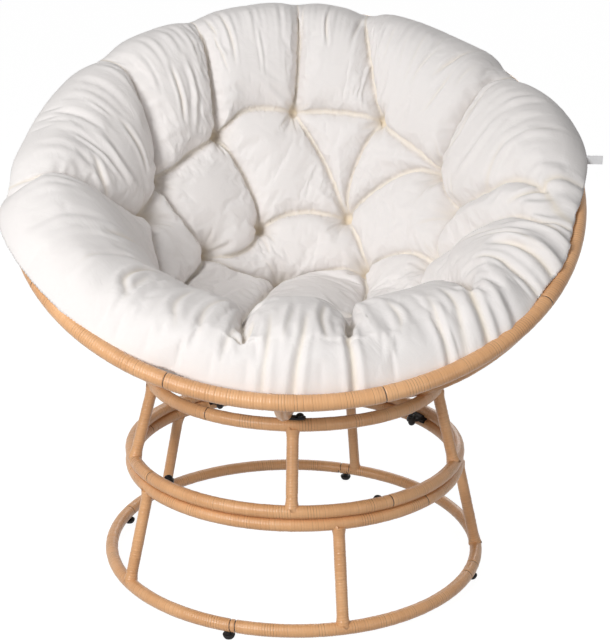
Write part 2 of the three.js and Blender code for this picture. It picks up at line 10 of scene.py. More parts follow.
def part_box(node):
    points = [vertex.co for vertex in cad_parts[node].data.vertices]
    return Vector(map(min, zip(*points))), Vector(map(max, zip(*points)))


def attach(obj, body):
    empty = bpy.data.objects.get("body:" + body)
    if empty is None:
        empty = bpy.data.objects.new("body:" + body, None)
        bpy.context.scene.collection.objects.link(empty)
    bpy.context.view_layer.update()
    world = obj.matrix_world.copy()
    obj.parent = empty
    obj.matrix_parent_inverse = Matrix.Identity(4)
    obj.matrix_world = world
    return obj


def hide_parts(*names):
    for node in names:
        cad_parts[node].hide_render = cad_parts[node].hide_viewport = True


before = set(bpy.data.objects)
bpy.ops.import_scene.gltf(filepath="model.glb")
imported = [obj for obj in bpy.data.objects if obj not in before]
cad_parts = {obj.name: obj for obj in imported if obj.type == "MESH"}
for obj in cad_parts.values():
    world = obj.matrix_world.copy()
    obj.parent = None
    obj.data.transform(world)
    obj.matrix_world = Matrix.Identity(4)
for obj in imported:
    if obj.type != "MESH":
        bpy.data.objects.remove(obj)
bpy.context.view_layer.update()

# The camera stands in front of the chair at eye height and looks down into the bowl.
camera_place = Vector((0.01611, -2.50716, 1.28303))
camera_tip = math.radians(72.136)
camera_roll = math.radians(0.709)
lens = bpy.data.cameras.new("camera")
lens.lens = 79.29
lens.sensor_width = 36.0
lens.sensor_fit = "AUTO"


def add_object(name, data):
    """An object that holds the data, put in the scene."""
    made = bpy.data.objects.new(name, data)
    bpy.context.scene.collection.objects.link(made)
    return made


camera = add_object("camera", lens)
camera.matrix_world = (Matrix.Translation(camera_place) @ Matrix.Rotation(camera_tip, 4, "X")
                       @ Matrix.Rotation(camera_roll, 4, "Z"))
bpy.context.scene.camera = camera
bpy.context.scene.view_settings.view_transform = "Standard"


# The studio: a white floor that keeps the chair's shadow, a white surround and large soft
# lamps. The strongest stands in front on the sitter's right, as the cushion's shading shows,
# and one behind lights the back.
def link_nodes(tree, kind, **settings):
    """Adds a shader node. Each setting is one of the node's properties, or a socket by its
    name or its number, such as in0, with a value or with a socket to link from."""
    node = tree.nodes.new(kind)
    for name, value in settings.items():
        if hasattr(node, name) and name not in node.inputs:
            setattr(node, name, value)
            continue
        numbered = name.startswith("in") and name[2:].isdigit()
        socket = node.inputs[int(name[2:]) if numbered else name.replace("_", " ")]
        if isinstance(value, bpy.types.NodeSocket):
            tree.links.new(value, socket)
        else:
            socket.default_value = value
    return node


def fresh_tree(holder):
    """The emptied node tree of a material or a world."""
    holder.use_nodes = True
    holder.node_tree.nodes.clear()
    return holder.node_tree


def lit_and_seen(tree, lit, seen):
    """Mixes two shaders: one for the rays that light the chair, and one that is seen by the
    camera and in glossy faces."""
    rays = link_nodes(tree, "ShaderNodeLightPath")
    direct = link_nodes(tree, "ShaderNodeMath", operation="MAXIMUM", in0=rays.outputs["Is Camera Ray"],
                        in1=rays.outputs["Is Glossy Ray"])
    return link_nodes(tree, "ShaderNodeMixShader", in0=direct.outputs[0], in1=lit.outputs[0],
                      in2=seen.outputs[0])


floor_span = 60.0
floor_mesh = bpy.data.meshes.new("floor")
floor_corners = np.array([(-1, -1, 0), (1, -1, 0), (1, 1, 0), (-1, 1, 0)]) * floor_span / 2
floor_mesh.from_pydata(floor_corners.tolist(), [], [(0, 1, 2, 3)])
floor = add_object("floor", floor_mesh)

floor_paint = bpy.data.materials.new("white studio floor")
floor_tree = fresh_tree(floor_paint)
matt = link_nodes(floor_tree, "ShaderNodeBsdfDiffuse", Color=(0.42, 0.42, 0.42, 1))
thin = link_nodes(floor_tree, "ShaderNodeBsdfDiffuse", Color=(0.2, 0.2, 0.2, 1))
glow = link_nodes(floor_tree, "ShaderNodeEmission", Color=(1, 1, 1, 1), Strength=0.95)
bright = link_nodes(floor_tree, "ShaderNodeAddShader", in0=thin.outputs[0], in1=glow.outputs[0])
floor_look = lit_and_seen(floor_tree, matt, bright)
link_nodes(floor_tree, "ShaderNodeOutputMaterial", Surface=floor_look.outputs[0])
floor_mesh.materials.append(floor_paint)

surround = bpy.data.worlds.new("white surround")
bpy.context.scene.world = surround
surround_tree = fresh_tree(surround)
soft = link_nodes(surround_tree, "ShaderNodeBackground", Color=(1, 1, 1, 1), Strength=0.22)
white = link_nodes(surround_tree, "ShaderNodeBackground", Color=(1, 1, 1, 1), Strength=1.0)
surround_look = lit_and_seen(surround_tree, soft, white)
link_nodes(surround_tree, "ShaderNodeOutputWorld", Surface=surround_look.outputs[0])


def softbox(name, place, aim, size, power):
    """A square lamp at place, facing aim."""
    lamp = bpy.data.lights.new(name, "AREA")
    lamp.shape = "SQUARE"
    lamp.size = size
    lamp.energy = power
    holder = add_object(name, lamp)
    facing = (Vector(aim) - Vector(place)).to_track_quat("-Z", "Y")
    holder.matrix_world = Matrix.Translation(place) @ facing.to_matrix().to_4x4()


softbox("overhead lamp", (-1.2, -1.5, 2.5), (0, 0, 0.6), 1.0, 21)
softbox("front lamp", (-1.6, -2.6, 1.6), (0, 0, 0.5), 1.0, 52)
softbox("right lamp", (1.8, -2.4, 0.8), (0, 0, 0.4), 1.2, 9)
softbox("rear lamp", (0.8, 2.9, 1.7), (0, 0, 0.5), 1.4, 20)

# The stand's four hoops: bent steel tube wound edge to edge with flat tan plastic strand.
# The floor hoop is the widest, two equal hoops meet at the middle and the bowl sits in the
# top one.
tube_radius = 0.012
floor_hoop = dict(radius=0.355, height=0.025)
lower_middle_hoop = dict(radius=0.312, height=0.2055)
upper_middle_hoop = dict(radius=0.312, height=0.2298)
top_hoop = dict(radius=0.273, height=0.3748)

# Across the strand, as shares of a turn: where the grid's rows lie and how far each is sunk
# below the tube's outside. From turn to turn it wanders a little in height and along the tube.
strand_pitch = 0.0048
tube_sides = 20
strand_shares = np.array([0.0, 0.14, 0.5, 0.86])
strand_depths = np.array([0.00034, 0.00008, 0.0, 0.00008])
strand_wander, strand_slide_share = 0.00012, 0.035
bare_depth, bare_side_depth = 0.0016, 0.0005
before_bare_share, after_bare_share = 0.67, 0.33
full_turn = 2 * math.pi


def strand_rows(turns, bare_shares):
    """The grid's rows: the turn of each, its share of that turn, how deep it is sunk, and 1
    where the tube is bare. There the row goes down to the steel and its neighbours draw
    back from it."""
    parts = len(strand_shares)
    row = np.arange(turns * parts)
    share = strand_shares[row % parts]
    depth = strand_depths[row % parts]
    bare = np.zeros(len(row))
    for bare_share in bare_shares:
        here = (round(bare_share * turns) % turns) * parts
        after = (here + 1) % len(row)
        depth[here] = bare_depth
        depth[here - 1] = depth[after] = bare_side_depth
        share[here - 1] = before_bare_share
        share[after] = after_bare_share
        bare[here] = 1.0
    return row // parts, share, depth, bare


def wound_faces(share, closed):
    """Quads of the wound grid, with a UV place for each corner: (turns + angle, angle). They
    join each row to the next, and the last column to the first, one turn on. An open tube
    is closed at each end by one face along its last turn."""
    rows, parts = len(share), len(strand_shares)
    row, column = np.meshgrid(np.arange(rows), np.arange(tube_sides), indexing="ij")
    row, column = row.ravel(), column.ravel()
    beside = row + parts * (column == tube_sides - 1)
    if not closed:
        kept = beside + 1 < rows
        row, column, beside = row[kept], column[kept], beside[kept]
    corner_rows = np.stack([row, beside, beside + 1, row + 1], -1) % rows
    corner_columns = np.stack([column, column + 1, column + 1, column], -1)
    quads = corner_rows * tube_sides + corner_columns % tube_sides
    turn_rows = np.stack([row, row, row + 1, row + 1], -1)
    angle = corner_columns / tube_sides
    uvs = np.stack([turn_rows // parts + share[turn_rows % rows] + angle, angle], -1).reshape(-1, 2)
    ends = []
    if not closed:
        first = np.r_[np.arange(tube_sides), np.arange(parts, 0, -1) * tube_sides]
        final = np.r_[rows * tube_sides - tube_sides + np.arange(tube_sides),
                      np.arange(rows - 1, rows - 1 - parts, -1) * tube_sides - 1]
        ends = [first[::-1].tolist(), final.tolist()]
        uvs = np.vstack([uvs, np.zeros((len(first) + len(final), 2))])
    return quads, ends, uvs


def wound_tube(node, line, across, radius, finish, closed=False, bare_shares=(), seed=0):
    """A tube wound with one flat strand, in place of a CAD node. line is the tube's middle
    line in the plane square to across, and radius its radius, or radii at even steps.

    At turn t and angle a the skin lies at line((t + a / full turn) * pitch), out from it by
    the radius less the strand's depth at the fraction of t, along cos(a) * normal + sin(a) *
    across. So each groove is one grid line that climbs by a pitch in each trip round the
    tube. At the bare shares of the length the strand's edges part and the dark steel shows."""
    line = np.asarray(line, float)
    across = np.asarray(across, float) / np.linalg.norm(across)
    arc = np.r_[0, np.cumsum(np.linalg.norm(np.diff(line, axis=0), axis=1))]
    tangents = np.gradient(line, arc, axis=0)
    if closed:
        tangents[0] = tangents[-1] = (tangents[0] + tangents[-1]) / 2
    given = np.atleast_1d(radius)
    radii = np.interp(arc, np.linspace(0, arc[-1], len(given)), given)

    turns = round(arc[-1] / strand_pitch)
    turn, share, depth, bare = strand_rows(turns, bare_shares)
    rng = np.random.default_rng(seed)
    rises = rng.normal(0, strand_wander, turns + 1)
    slides = rng.normal(0, strand_slide_share, turns + 1)
    rises[-1], slides[-1] = rises[0], slides[0]
    angle = np.arange(tube_sides)[None, :] / tube_sides
    rise = rises[turn][:, None] * (1 - angle) + rises[turn + 1][:, None] * angle
    slide = slides[turn][:, None] * (1 - angle) + slides[turn + 1][:, None] * angle
    travel = ((turn + share)[:, None] + angle + slide - 0.5 * (not closed)) * arc[-1] / turns
    if closed:
        travel %= arc[-1]
    on_line = np.clip(travel, 0, arc[-1])
    centre = np.stack([np.interp(on_line, arc, line[:, axis]) for axis in range(3)], -1)
    tangent = np.stack([np.interp(on_line, arc, tangents[:, axis]) for axis in range(3)], -1)
    tangent /= np.linalg.norm(tangent, axis=-1, keepdims=True)
    centre += tangent * (travel - on_line)[..., None]
    normal = np.cross(across, tangent)
    out = np.cos(full_turn * angle)[..., None] * normal + np.sin(full_turn * angle)[..., None] * across
    reach = np.interp(on_line, arc, radii) - depth[:, None] + rise - 2 * strand_wander
    points = (centre + reach[..., None] * out).reshape(-1, 3)

    quads, ends, uvs = wound_faces(share, closed)
    mesh = bpy.data.meshes.new(node + "_wound")
    mesh.from_pydata(points.tolist(), [], quads.tolist() + ends)
    strand_map = mesh.uv_layers.new(name="strand")
    strand_map.data.foreach_set("uv", uvs.ravel().astype(np.float32))
    bare_layer = mesh.attributes.new("bare", "FLOAT", "POINT")
    bare_layer.data.foreach_set("value", np.repeat(bare, tube_sides).astype(np.float32))
    mesh.polygons.foreach_set("use_smooth", np.ones(len(mesh.polygons), bool))
    a, b, c, d = points[quads].transpose(1, 0, 2)
    if np.sum(a * np.cross(b, c)) + np.sum(a * np.cross(c, d)) < 0:
        mesh.flip_normals()
    mesh.materials.append(finish)
    piece = add_object(node + "_wound", mesh)
    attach(piece, "frame")
    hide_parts(node)


def strand_material(name, widest_joint):
    """Tan plastic strand: fine moulded lines along it, tight joints between the turns that
    open into dark lines in places, and black steel where the turns part."""
    paint = bpy.data.materials.new(name)
    tree = fresh_tree(paint)
    places = link_nodes(tree, "ShaderNodeUVMap", uv_map="strand")
    split = link_nodes(tree, "ShaderNodeSeparateXYZ", Vector=places.outputs[0])
    climb = link_nodes(tree, "ShaderNodeMath", operation="SUBTRACT", in0=split.outputs[0],
                       in1=split.outputs[1])
    number = link_nodes(tree, "ShaderNodeMath", operation="FLOOR", in0=climb.outputs[0])
    side = link_nodes(tree, "ShaderNodeMath", operation="FRACT", in0=climb.outputs[0])
    tone = link_nodes(tree, "ShaderNodeTexWhiteNoise", noise_dimensions="1D", W=number.outputs[0])
    spot = link_nodes(tree, "ShaderNodeTexCoord")
    drift = link_nodes(tree, "ShaderNodeTexNoise", Vector=spot.outputs["Object"], Scale=11.0, Detail=3.0)
    blend = link_nodes(tree, "ShaderNodeMath", operation="MULTIPLY_ADD", in0=tone.outputs["Value"],
                       in1=0.12, in2=drift.outputs[0])
    tans = link_nodes(tree, "ShaderNodeValToRGB", Fac=blend.outputs[0])
    ramp = tans.color_ramp
    ramp.elements[0].position = 0.35
    ramp.elements[0].color = (0.66, 0.342, 0.152, 1)
    ramp.elements[1].position = 0.80
    ramp.elements[1].color = (0.80, 0.452, 0.222, 1)
    middle = ramp.elements.new(0.56)
    middle.color = (0.74, 0.400, 0.186, 1)

    lay = link_nodes(tree, "ShaderNodeCombineXYZ", X=side.outputs[0], Y=split.outputs[1],
                     Z=number.outputs[0])
    spread = link_nodes(tree, "ShaderNodeMapping", Vector=lay.outputs[0], Scale=(9.0, 2.2, 3.7))
    lines = link_nodes(tree, "ShaderNodeTexNoise", Vector=spread.outputs[0], Scale=1.0, Detail=3.0,
                       Roughness=0.6)
    streak = link_nodes(tree, "ShaderNodeMapRange", Value=lines.outputs[0], in1=0.3, in2=0.7, in3=0.95,
                        in4=1.03)

    # A joint is dark where the turns lie apart: in runs of turns, and more in some than others.
    run = link_nodes(tree, "ShaderNodeMath", operation="MULTIPLY", in0=number.outputs[0], in1=0.09)
    runs = link_nodes(tree, "ShaderNodeTexNoise", noise_dimensions="1D", W=run.outputs[0], Scale=1.0,
                      Detail=1.0)
    next_one = link_nodes(tree, "ShaderNodeMath", operation="ADD", in0=climb.outputs[0], in1=0.5)
    joint = link_nodes(tree, "ShaderNodeMath", operation="FLOOR", in0=next_one.outputs[0])
    chance = link_nodes(tree, "ShaderNodeTexWhiteNoise", noise_dimensions="1D", W=joint.outputs[0])
    apart = link_nodes(tree, "ShaderNodeMath", operation="MULTIPLY_ADD", in0=chance.outputs["Value"],
                       in1=0.45, in2=runs.outputs[0])
    opened = link_nodes(tree, "ShaderNodeMapRange", Value=apart.outputs[0], in1=0.70, in2=1.0, in3=0.07,
                        in4=widest_joint)
    centred = link_nodes(tree, "ShaderNodeMath", operation="SUBTRACT", in0=side.outputs[0], in1=0.5)
    off = link_nodes(tree, "ShaderNodeMath", operation="ABSOLUTE", in0=centred.outputs[0])
    groove = link_nodes(tree, "ShaderNodeMapRange", Value=off.outputs[0], in1=0.41, in2=0.5, in3=0.0,
                        in4=1.0)
    groove.interpolation_type = "SMOOTHSTEP"
    depth = link_nodes(tree, "ShaderNodeMath", operation="MULTIPLY", in0=groove.outputs[0],
                       in1=opened.outputs[0])
    light = link_nodes(tree, "ShaderNodeMath", operation="SUBTRACT", in0=1.0, in1=depth.outputs[0])
    dim = link_nodes(tree, "ShaderNodeMath", operation="MULTIPLY", in0=streak.outputs[0],
                     in1=light.outputs[0])
    shaded = link_nodes(tree, "ShaderNodeVectorMath", operation="SCALE", in0=tans.outputs[0],
                        Scale=dim.outputs[0])
    parted = link_nodes(tree, "ShaderNodeAttribute", attribute_name="bare")
    steel = link_nodes(tree, "ShaderNodeMapRange", Value=parted.outputs["Fac"], in1=0.25, in2=0.7, in3=0.0,
                       in4=1.0)
    colour = link_nodes(tree, "ShaderNodeMix", data_type="RGBA", in0=steel.outputs[0],
                        in6=shaded.outputs[0], in7=(0.012, 0.010, 0.010, 1))
    gloss = link_nodes(tree, "ShaderNodeMapRange", Value=lines.outputs[0], in1=0.3, in2=0.7, in3=0.25,
                       in4=0.38)
    raised = link_nodes(tree, "ShaderNodeBump", Strength=0.2, Distance=0.0003, Height=lines.outputs[0])
    coat = link_nodes(tree, "ShaderNodeBsdfPrincipled", Base_Color=colour.outputs[2],
                      Roughness=gloss.outputs[0], Normal=raised.outputs[0])
    link_nodes(tree, "ShaderNodeOutputMaterial", Surface=coat.outputs[0])
    return paint


wound_strand = strand_material("tan wound strand", 0.85)
tight_strand = strand_material("tan tight-wound strand", 0.25)


ring_steps = 1441


def ring(radius, height, start):
    """A level circle round the Z axis from the start direction, in degrees."""
    turn = math.radians(start) + np.linspace(0, full_turn, ring_steps)
    return np.stack([radius * np.cos(turn), radius * np.sin(turn), np.full(ring_steps, height)], -1)


def shares_round(directions, start):
    """Shares of a hoop's length, from its start direction, at the given directions."""
    return [(direction - start) % 360 / 360 for direction in directions]


# Each hoop with the direction its winding starts from and the directions of bare turns.
stand_hoops = {
    "floor_hoop": (floor_hoop, 130, (70.6, 73.4, 162, 252, 253.6, 335, 342)),
    "lower_stand_top_hoop": (lower_middle_hoop, 160, (160, 198, 318)),
    "upper_stand_bottom_hoop": (upper_middle_hoop, 200, (200, 214, 302)),
    "top_hoop": (top_hoop, 100, (100, 236)),
}
for seed, (node, (hoop, start, bare)) in enumerate(stand_hoops.items()):
    wound_tube(node, ring(hoop["radius"], hoop["height"], start), (0, 0, 1), tube_radius, wound_strand,
               closed=True, bare_shares=shares_round(bare, start), seed=seed)

# The struts: straight wound tubes welded between the hoops of each stand, five below and
# five above. Each leans inwards, and its winding swells where it runs onto a hoop.
strut_radius = 0.0108
strut_swell = 0.0030
swell_reach = 0.024
strut_tuck = 0.004
strut_steps = 80
lower_struts = [68.5, 140.5, 212.5, 284.5, 356.5]
upper_struts = [53.5, 125.5, 197.5, 269.5, 341.5]
lower_strut_seed, upper_strut_seed = 10, 20


def upright_plane(direction, flat):
    """Stands a line of (distance from the axis, height) up at a direction in degrees."""
    turn = math.radians(direction)
    flat = np.asarray(flat)
    return np.stack([flat[:, 0] * math.cos(turn), flat[:, 0] * math.sin(turn), flat[:, 1]], -1)


def sideways(direction):
    """The level direction square to the upright plane at a direction in degrees."""
    turn = math.radians(direction)
    return (-math.sin(turn), math.cos(turn), 0)


def wind_strut(node, direction, low, high, seed):
    """Winds a straight line from hoop to hoop. Its radius swells by the strut's swell times
    n² * (3 - 2 n), where n rises from 0 at the swell's reach to 1 at the hoop's middle."""
    ends = np.array([(low["radius"], low["height"]), (high["radius"], high["height"])])
    length = float(np.linalg.norm(ends[1] - ends[0]))
    along = np.linspace(strut_tuck, length - strut_tuck, strut_steps)
    near = np.clip(1 - np.minimum(along, length - along) / swell_reach, 0, 1)
    radii = strut_radius + strut_swell * near ** 2 * (3 - 2 * near)
    flat = ends[0] + (ends[1] - ends[0]) * (along / length)[:, None]
    wound_tube(node, upright_plane(direction, flat), sideways(direction), radii, tight_strand, seed=seed)


for i, (low_way, high_way) in enumerate(zip(lower_struts, upper_struts)):
    wind_strut(f"lower_strut_{i + 1}", low_way, floor_hoop, lower_middle_hoop, lower_strut_seed + i)
    wind_strut(f"upper_strut_{i + 1}", high_way, upper_middle_hoop, top_hoop, upper_strut_seed + i)

# The clamps that hold the two stands together: a black steel tab welded to each middle
# hoop, and one bolt with a domed head and a cap nut. All are powder-coated black.
clamp_directions = [33.0, 124.5, 215.5, 302.0]
clamp_circle = 0.280
clamp_plane = 0.21765
tab_sheet = 0.003
joint_half_gap = 0.00015
edge_bevel, bevel_above = 0.0004, math.radians(40)


def steel_material(name, dark, worn, rough):
    """Black powder coat: a fine orange-peel bump, and a browner bloom where it is rubbed."""
    paint = bpy.data.materials.new(name)
    tree = fresh_tree(paint)
    spot = link_nodes(tree, "ShaderNodeTexCoord")
    peel = link_nodes(tree, "ShaderNodeTexNoise", Vector=spot.outputs["Object"], Scale=900.0, Detail=3.0)
    rub = link_nodes(tree, "ShaderNodeTexNoise", Vector=spot.outputs["Object"], Scale=70.0, Detail=5.0)
    rubbed = link_nodes(tree, "ShaderNodeMapRange", Value=rub.outputs[0], in1=0.45, in2=0.75, in3=0.0,
                        in4=1.0)
    colour = link_nodes(tree, "ShaderNodeMix", data_type="RGBA", in0=rubbed.outputs[0], in6=dark,
                        in7=worn)
    gloss = link_nodes(tree, "ShaderNodeMapRange", Value=peel.outputs[0], in1=0.3, in2=0.7,
                       in3=rough - 0.08, in4=rough + 0.1)
    raised = link_nodes(tree, "ShaderNodeBump", Strength=0.35, Distance=0.0002, Height=peel.outputs[0])
    coat = link_nodes(tree, "ShaderNodeBsdfPrincipled", Base_Color=colour.outputs[2],
                      Roughness=gloss.outputs[0], Specular_IOR_Level=0.25, Normal=raised.outputs[0])
    link_nodes(tree, "ShaderNodeOutputMaterial", Surface=coat.outputs[0])
    return paint


black_coat = steel_material("black powder coat", (0.010, 0.009, 0.010, 1), (0.030, 0.024, 0.021, 1), 0.40)


def coat_node(node):
    """Puts the black coat on a CAD node that is shown as it is."""
    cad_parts[node].data.materials.clear()
    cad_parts[node].data.materials.append(black_coat)


def ring_faces(rows, sides):
    """Faces of a grid whose rows are closed rings: the quad (i, j), (i, j + 1), (i + 1, j + 1),
    (i + 1, j) between each two rings, and one face over the first ring and the last."""
    i, j = np.meshgrid(np.arange(rows - 1), np.arange(sides), indexing="ij")
    beside = (j + 1) % sides
    quads = np.stack([i * sides + j, i * sides + beside, (i + 1) * sides + beside, (i + 1) * sides + j], -1)
    first = list(range(sides))
    return quads.reshape(-1, 4).tolist() + [first[::-1], [(rows - 1) * sides + k for k in first]]


def turned_piece(node, profile, sides, place, direction, finish, body, waves=0, wave_depth=0.0):
    """A turned part in place of a CAD node: a profile of (radius, height) pairs carried round
    an upright axis at place, in the frame turned to direction. Flats or flutes cut each
    radius by wave_depth * (1 - cos(waves * angle)) / 2."""
    profile = np.asarray(profile, float)
    turn = np.arange(sides) * full_turn / sides
    cut = 1 - wave_depth * (1 - np.cos(waves * turn)) / 2
    radius = profile[:, 0, None] * cut[None, :]
    x = place[0] + radius * np.cos(turn)
    y = radius * np.sin(turn)
    z = place[1] + np.repeat(profile[:, 1, None], sides, axis=1)
    cos, sin = math.cos(math.radians(direction)), math.sin(math.radians(direction))
    points = np.stack([x * cos - y * sin, x * sin + y * cos, z], -1)
    mesh = bpy.data.meshes.new(node + "_turned")
    mesh.from_pydata(points.reshape(-1, 3).tolist(), [], ring_faces(len(profile), sides))
    mesh.polygons.foreach_set("use_smooth", np.ones(len(mesh.polygons), bool))
    mesh.materials.append(finish)
    piece = add_object(node + "_turned", mesh)
    bevel = piece.modifiers.new("edges", "BEVEL")
    bevel.width = edge_bevel
    bevel.segments = 2
    bevel.limit_method = "ANGLE"
    bevel.angle_limit = bevel_above
    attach(piece, body)
    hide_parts(node)


# The bolt's profile runs up from its tip, and its head is a dome with a round recess on top.
# The nut's starts at the top of its dome, underneath, and has six flats.
head_seat = joint_half_gap + tab_sheet + 0.0003
bolt_profile = [
    (0.0028, -head_seat - 0.0050), (0.0035, -head_seat - 0.0044), (0.0035, head_seat), (0.0078, head_seat),
    (0.0080, head_seat + 0.0008), (0.0079, head_seat + 0.0022), (0.0071, head_seat + 0.0044),
    (0.0056, head_seat + 0.0060), (0.0036, head_seat + 0.0069), (0.0029, head_seat + 0.0069),
    (0.0027, head_seat + 0.0040), (0.0005, head_seat + 0.0036),
]
nut_profile = [
    (0.0008, -head_seat - 0.0100), (0.0034, -head_seat - 0.0096), (0.0055, -head_seat - 0.0082),
    (0.0066, -head_seat - 0.0064), (0.0068, -head_seat - 0.0056), (0.0075, -head_seat - 0.0050),
    (0.0075, -head_seat - 0.0006), (0.0072, -head_seat), (0.0038, -head_seat), (0.0038, -head_seat - 0.0046),
    (0.0008, -head_seat - 0.0047),
]
fastener_sides = 24
for i, direction in enumerate(clamp_directions):
    turned_piece(f"clamp_bolt_{i + 1}", bolt_profile, fastener_sides, (clamp_circle, clamp_plane),
                 direction, black_coat, "frame")
    turned_piece(f"clamp_cap_nut_{i + 1}", nut_profile, fastener_sides, (clamp_circle, clamp_plane),
                 direction, black_coat, "frame", waves=6, wave_depth=0.10)
    coat_node(f"clamp_lower_tab_{i + 1}")
    coat_node(f"clamp_upper_tab_{i + 1}")

# The floor glides: domed black rubber pads on threaded stems, screwed into steel inserts in
# the floor hoop so that the chair can be levelled.
glide_directions = [72.0, 162.0, 252.0, 342.0]
rubber = steel_material("black rubber", (0.013, 0.012, 0.013, 1), (0.028, 0.026, 0.026, 1), 0.62)
pad_profile = [
    (0.0030, 0.0), (0.0060, 0.0), (0.0078, 0.0006), (0.0094, 0.0026), (0.0106, 0.0052), (0.0110, 0.0068),
    (0.0110, 0.0078), (0.0106, 0.0086), (0.0098, 0.0090), (0.0052, 0.0090), (0.0048, 0.0094),
    (0.0048, 0.0112), (0.0031, 0.0114),
]
stem_low, stem_high = 0.0112, 0.0220
stem_radius, thread_depth, thread_pitch = 0.0030, 0.0004, 0.001
thread_rows = int((stem_high - stem_low) / thread_pitch) * 2
thread_profile = [(stem_radius - thread_depth * (k % 2), stem_low + k * thread_pitch / 2)
                  for k in range(thread_rows + 1)]
glide_profile = pad_profile + thread_profile
glide_sides = 28
for i, direction in enumerate(glide_directions):
    turned_piece(f"floor_glide_{i + 1}", glide_profile, glide_sides, (floor_hoop["radius"], 0.0),
                 direction, rubber, f"glide_{i + 1}")
    coat_node(f"glide_insert_{i + 1}")

# The bowl: a wide rim tube tilted back, a small foot hoop, and six ribs that bend down from
# the rim, over the inner side of the stand's top hoop and in to the foot hoop. All of them
# are wound like the stand.
rim_radius, rim_tube = 0.506, 0.014
rim_height = 0.7338
rim_tilt = math.radians(30.4)
foot_hoop_radius, rib_radius = 0.150, 0.011
foot_hoop_height = 0.3703
rib_nesting = 0.003
rib_ways = [27.0, 87.0, 147.0, 207.0, 267.0, 327.0]
rib_outward_share = 0.3
rib_upper_handle_shares, rib_lower_handle_shares = (0.35, 0.28), (0.35, 0.35)
rib_upper_steps, rib_lower_steps = 90, 40
rim_seed, foot_hoop_seed, rib_seed = 30, 31, 40


def bezier(ends, steps):
    """Points of (1 - t)³ a + 3 (1 - t)² t b + 3 (1 - t) t² c + t³ d, for t from 0 to 1."""
    t = np.linspace(0, 1, steps)[:, None]
    a, b, c, d = (np.asarray(p, float) for p in ends)
    return (1 - t) ** 3 * a + 3 * (1 - t) ** 2 * t * b + 3 * (1 - t) * t ** 2 * c + t ** 3 * d


def unit(vector):
    """The vector divided by its length."""
    return vector / np.linalg.norm(vector)


def bowl_line(direction):
    """The rib's middle line at a direction, as (distance, height): one curve from the rim to
    the top hoop's inner side, and one from there that ends level at the foot hoop."""
    way = math.radians(direction)
    distance = rim_radius / math.hypot(math.cos(way), math.sin(way) / math.cos(rim_tilt))
    rim = np.array([distance, rim_height + distance * math.sin(way) * math.tan(rim_tilt)])
    foot = np.array([foot_hoop_radius, foot_hoop_height])
    seat = np.array([top_hoop["radius"], top_hoop["height"]])
    bisector = unit(unit(rim - seat) + unit(foot - seat))
    touch = seat + bisector * (tube_radius + rib_radius - rib_nesting)
    along = np.array([-bisector[1], bisector[0]])
    along *= np.sign(along @ (foot - rim))
    chord = touch - rim
    reach = np.linalg.norm(chord)
    outwards = unit(np.array([-chord[1], chord[0]]))
    outwards *= np.sign(outwards[0])
    start = unit(chord / reach + outwards * rib_outward_share)
    high_share, low_share = rib_upper_handle_shares
    upper = bezier((rim, rim + start * reach * high_share, touch - along * reach * low_share, touch),
                   rib_upper_steps)
    drop = np.linalg.norm(foot - touch)
    high_share, low_share = rib_lower_handle_shares
    lower = bezier((touch, touch + along * drop * high_share, foot + np.array([drop * low_share, 0]), foot),
                   rib_lower_steps)
    return np.vstack([upper, lower[1:]])


# The rim's and the foot hoop's windings start at these directions.
rim_start, foot_hoop_start = 60, 140
tilt_turn = np.array(Matrix.Rotation(rim_tilt, 3, "X"))
rim_line = ring(rim_radius, 0.0, rim_start) @ tilt_turn.T + np.array([0, 0, rim_height])
rim_bare = shares_round((60, 210, 246, 286, 326), rim_start)
wound_tube("bowl_rim", rim_line, tilt_turn @ (0, 0, 1), rim_tube, wound_strand, closed=True,
           bare_shares=rim_bare, seed=rim_seed)
wound_tube("bowl_foot_hoop", ring(foot_hoop_radius, foot_hoop_height, foot_hoop_start), (0, 0, 1),
           rib_radius, wound_strand, closed=True, bare_shares=(0,), seed=foot_hoop_seed)
for i, direction in enumerate(rib_ways):
    rib_line = bowl_line(direction)[1:-2]
    wound_tube(f"bowl_rib_{i + 1}", upright_plane(direction, rib_line), sideways(direction), rib_radius,
               tight_strand, seed=rib_seed + i)

# The bowl's fixings: a steel tab beside every second rib, held down on the top hoop by a
# round-headed screw.
screw_along = 0.024
screw_seat = 0.3904
screw_profile = [
    (0.0022, screw_seat - 0.0136), (0.0030, screw_seat - 0.0128), (0.0030, screw_seat), (0.0068, screw_seat),
    (0.0070, screw_seat + 0.0010), (0.0068, screw_seat + 0.0024), (0.0058, screw_seat + 0.0042),
    (0.0040, screw_seat + 0.0055), (0.0026, screw_seat + 0.0059), (0.0024, screw_seat + 0.0035),
    (0.0004, screw_seat + 0.0032),
]
screw_swing = math.degrees(math.atan2(screw_along, top_hoop["radius"]))
screw_reach = math.hypot(screw_along, top_hoop["radius"])
for i, direction in enumerate(rib_ways[::2]):
    turned_piece(f"bowl_screw_{i + 1}", screw_profile, fastener_sides, (screw_reach, 0.0),
                 direction + screw_swing, black_coat, "frame")
    coat_node(f"bowl_tab_{i + 1}")

# The cushion: two round sheets of cream canvas sewn together at the edge, filled with
# loose fibre and tied through at seventeen tufts. It lies loose in the bowl, bends up the
# back over the rim, and bunches where the seat turns up at the front.
cushion_rest_gap, cushion_wall_gap = 0.0006, 0.004
# The underside passes the bowl line at these of its points, from the top hoop up, and the
# rim tube at these angles, moved out and up by these lengths at the front.
wall_points = (89, 49, 18)
rim_passes = [(187, -0.016, -0.032), (120, -0.020, -0.036)]
rim_pass_gap = 0.0045
way_steps, share_steps = 361, 161

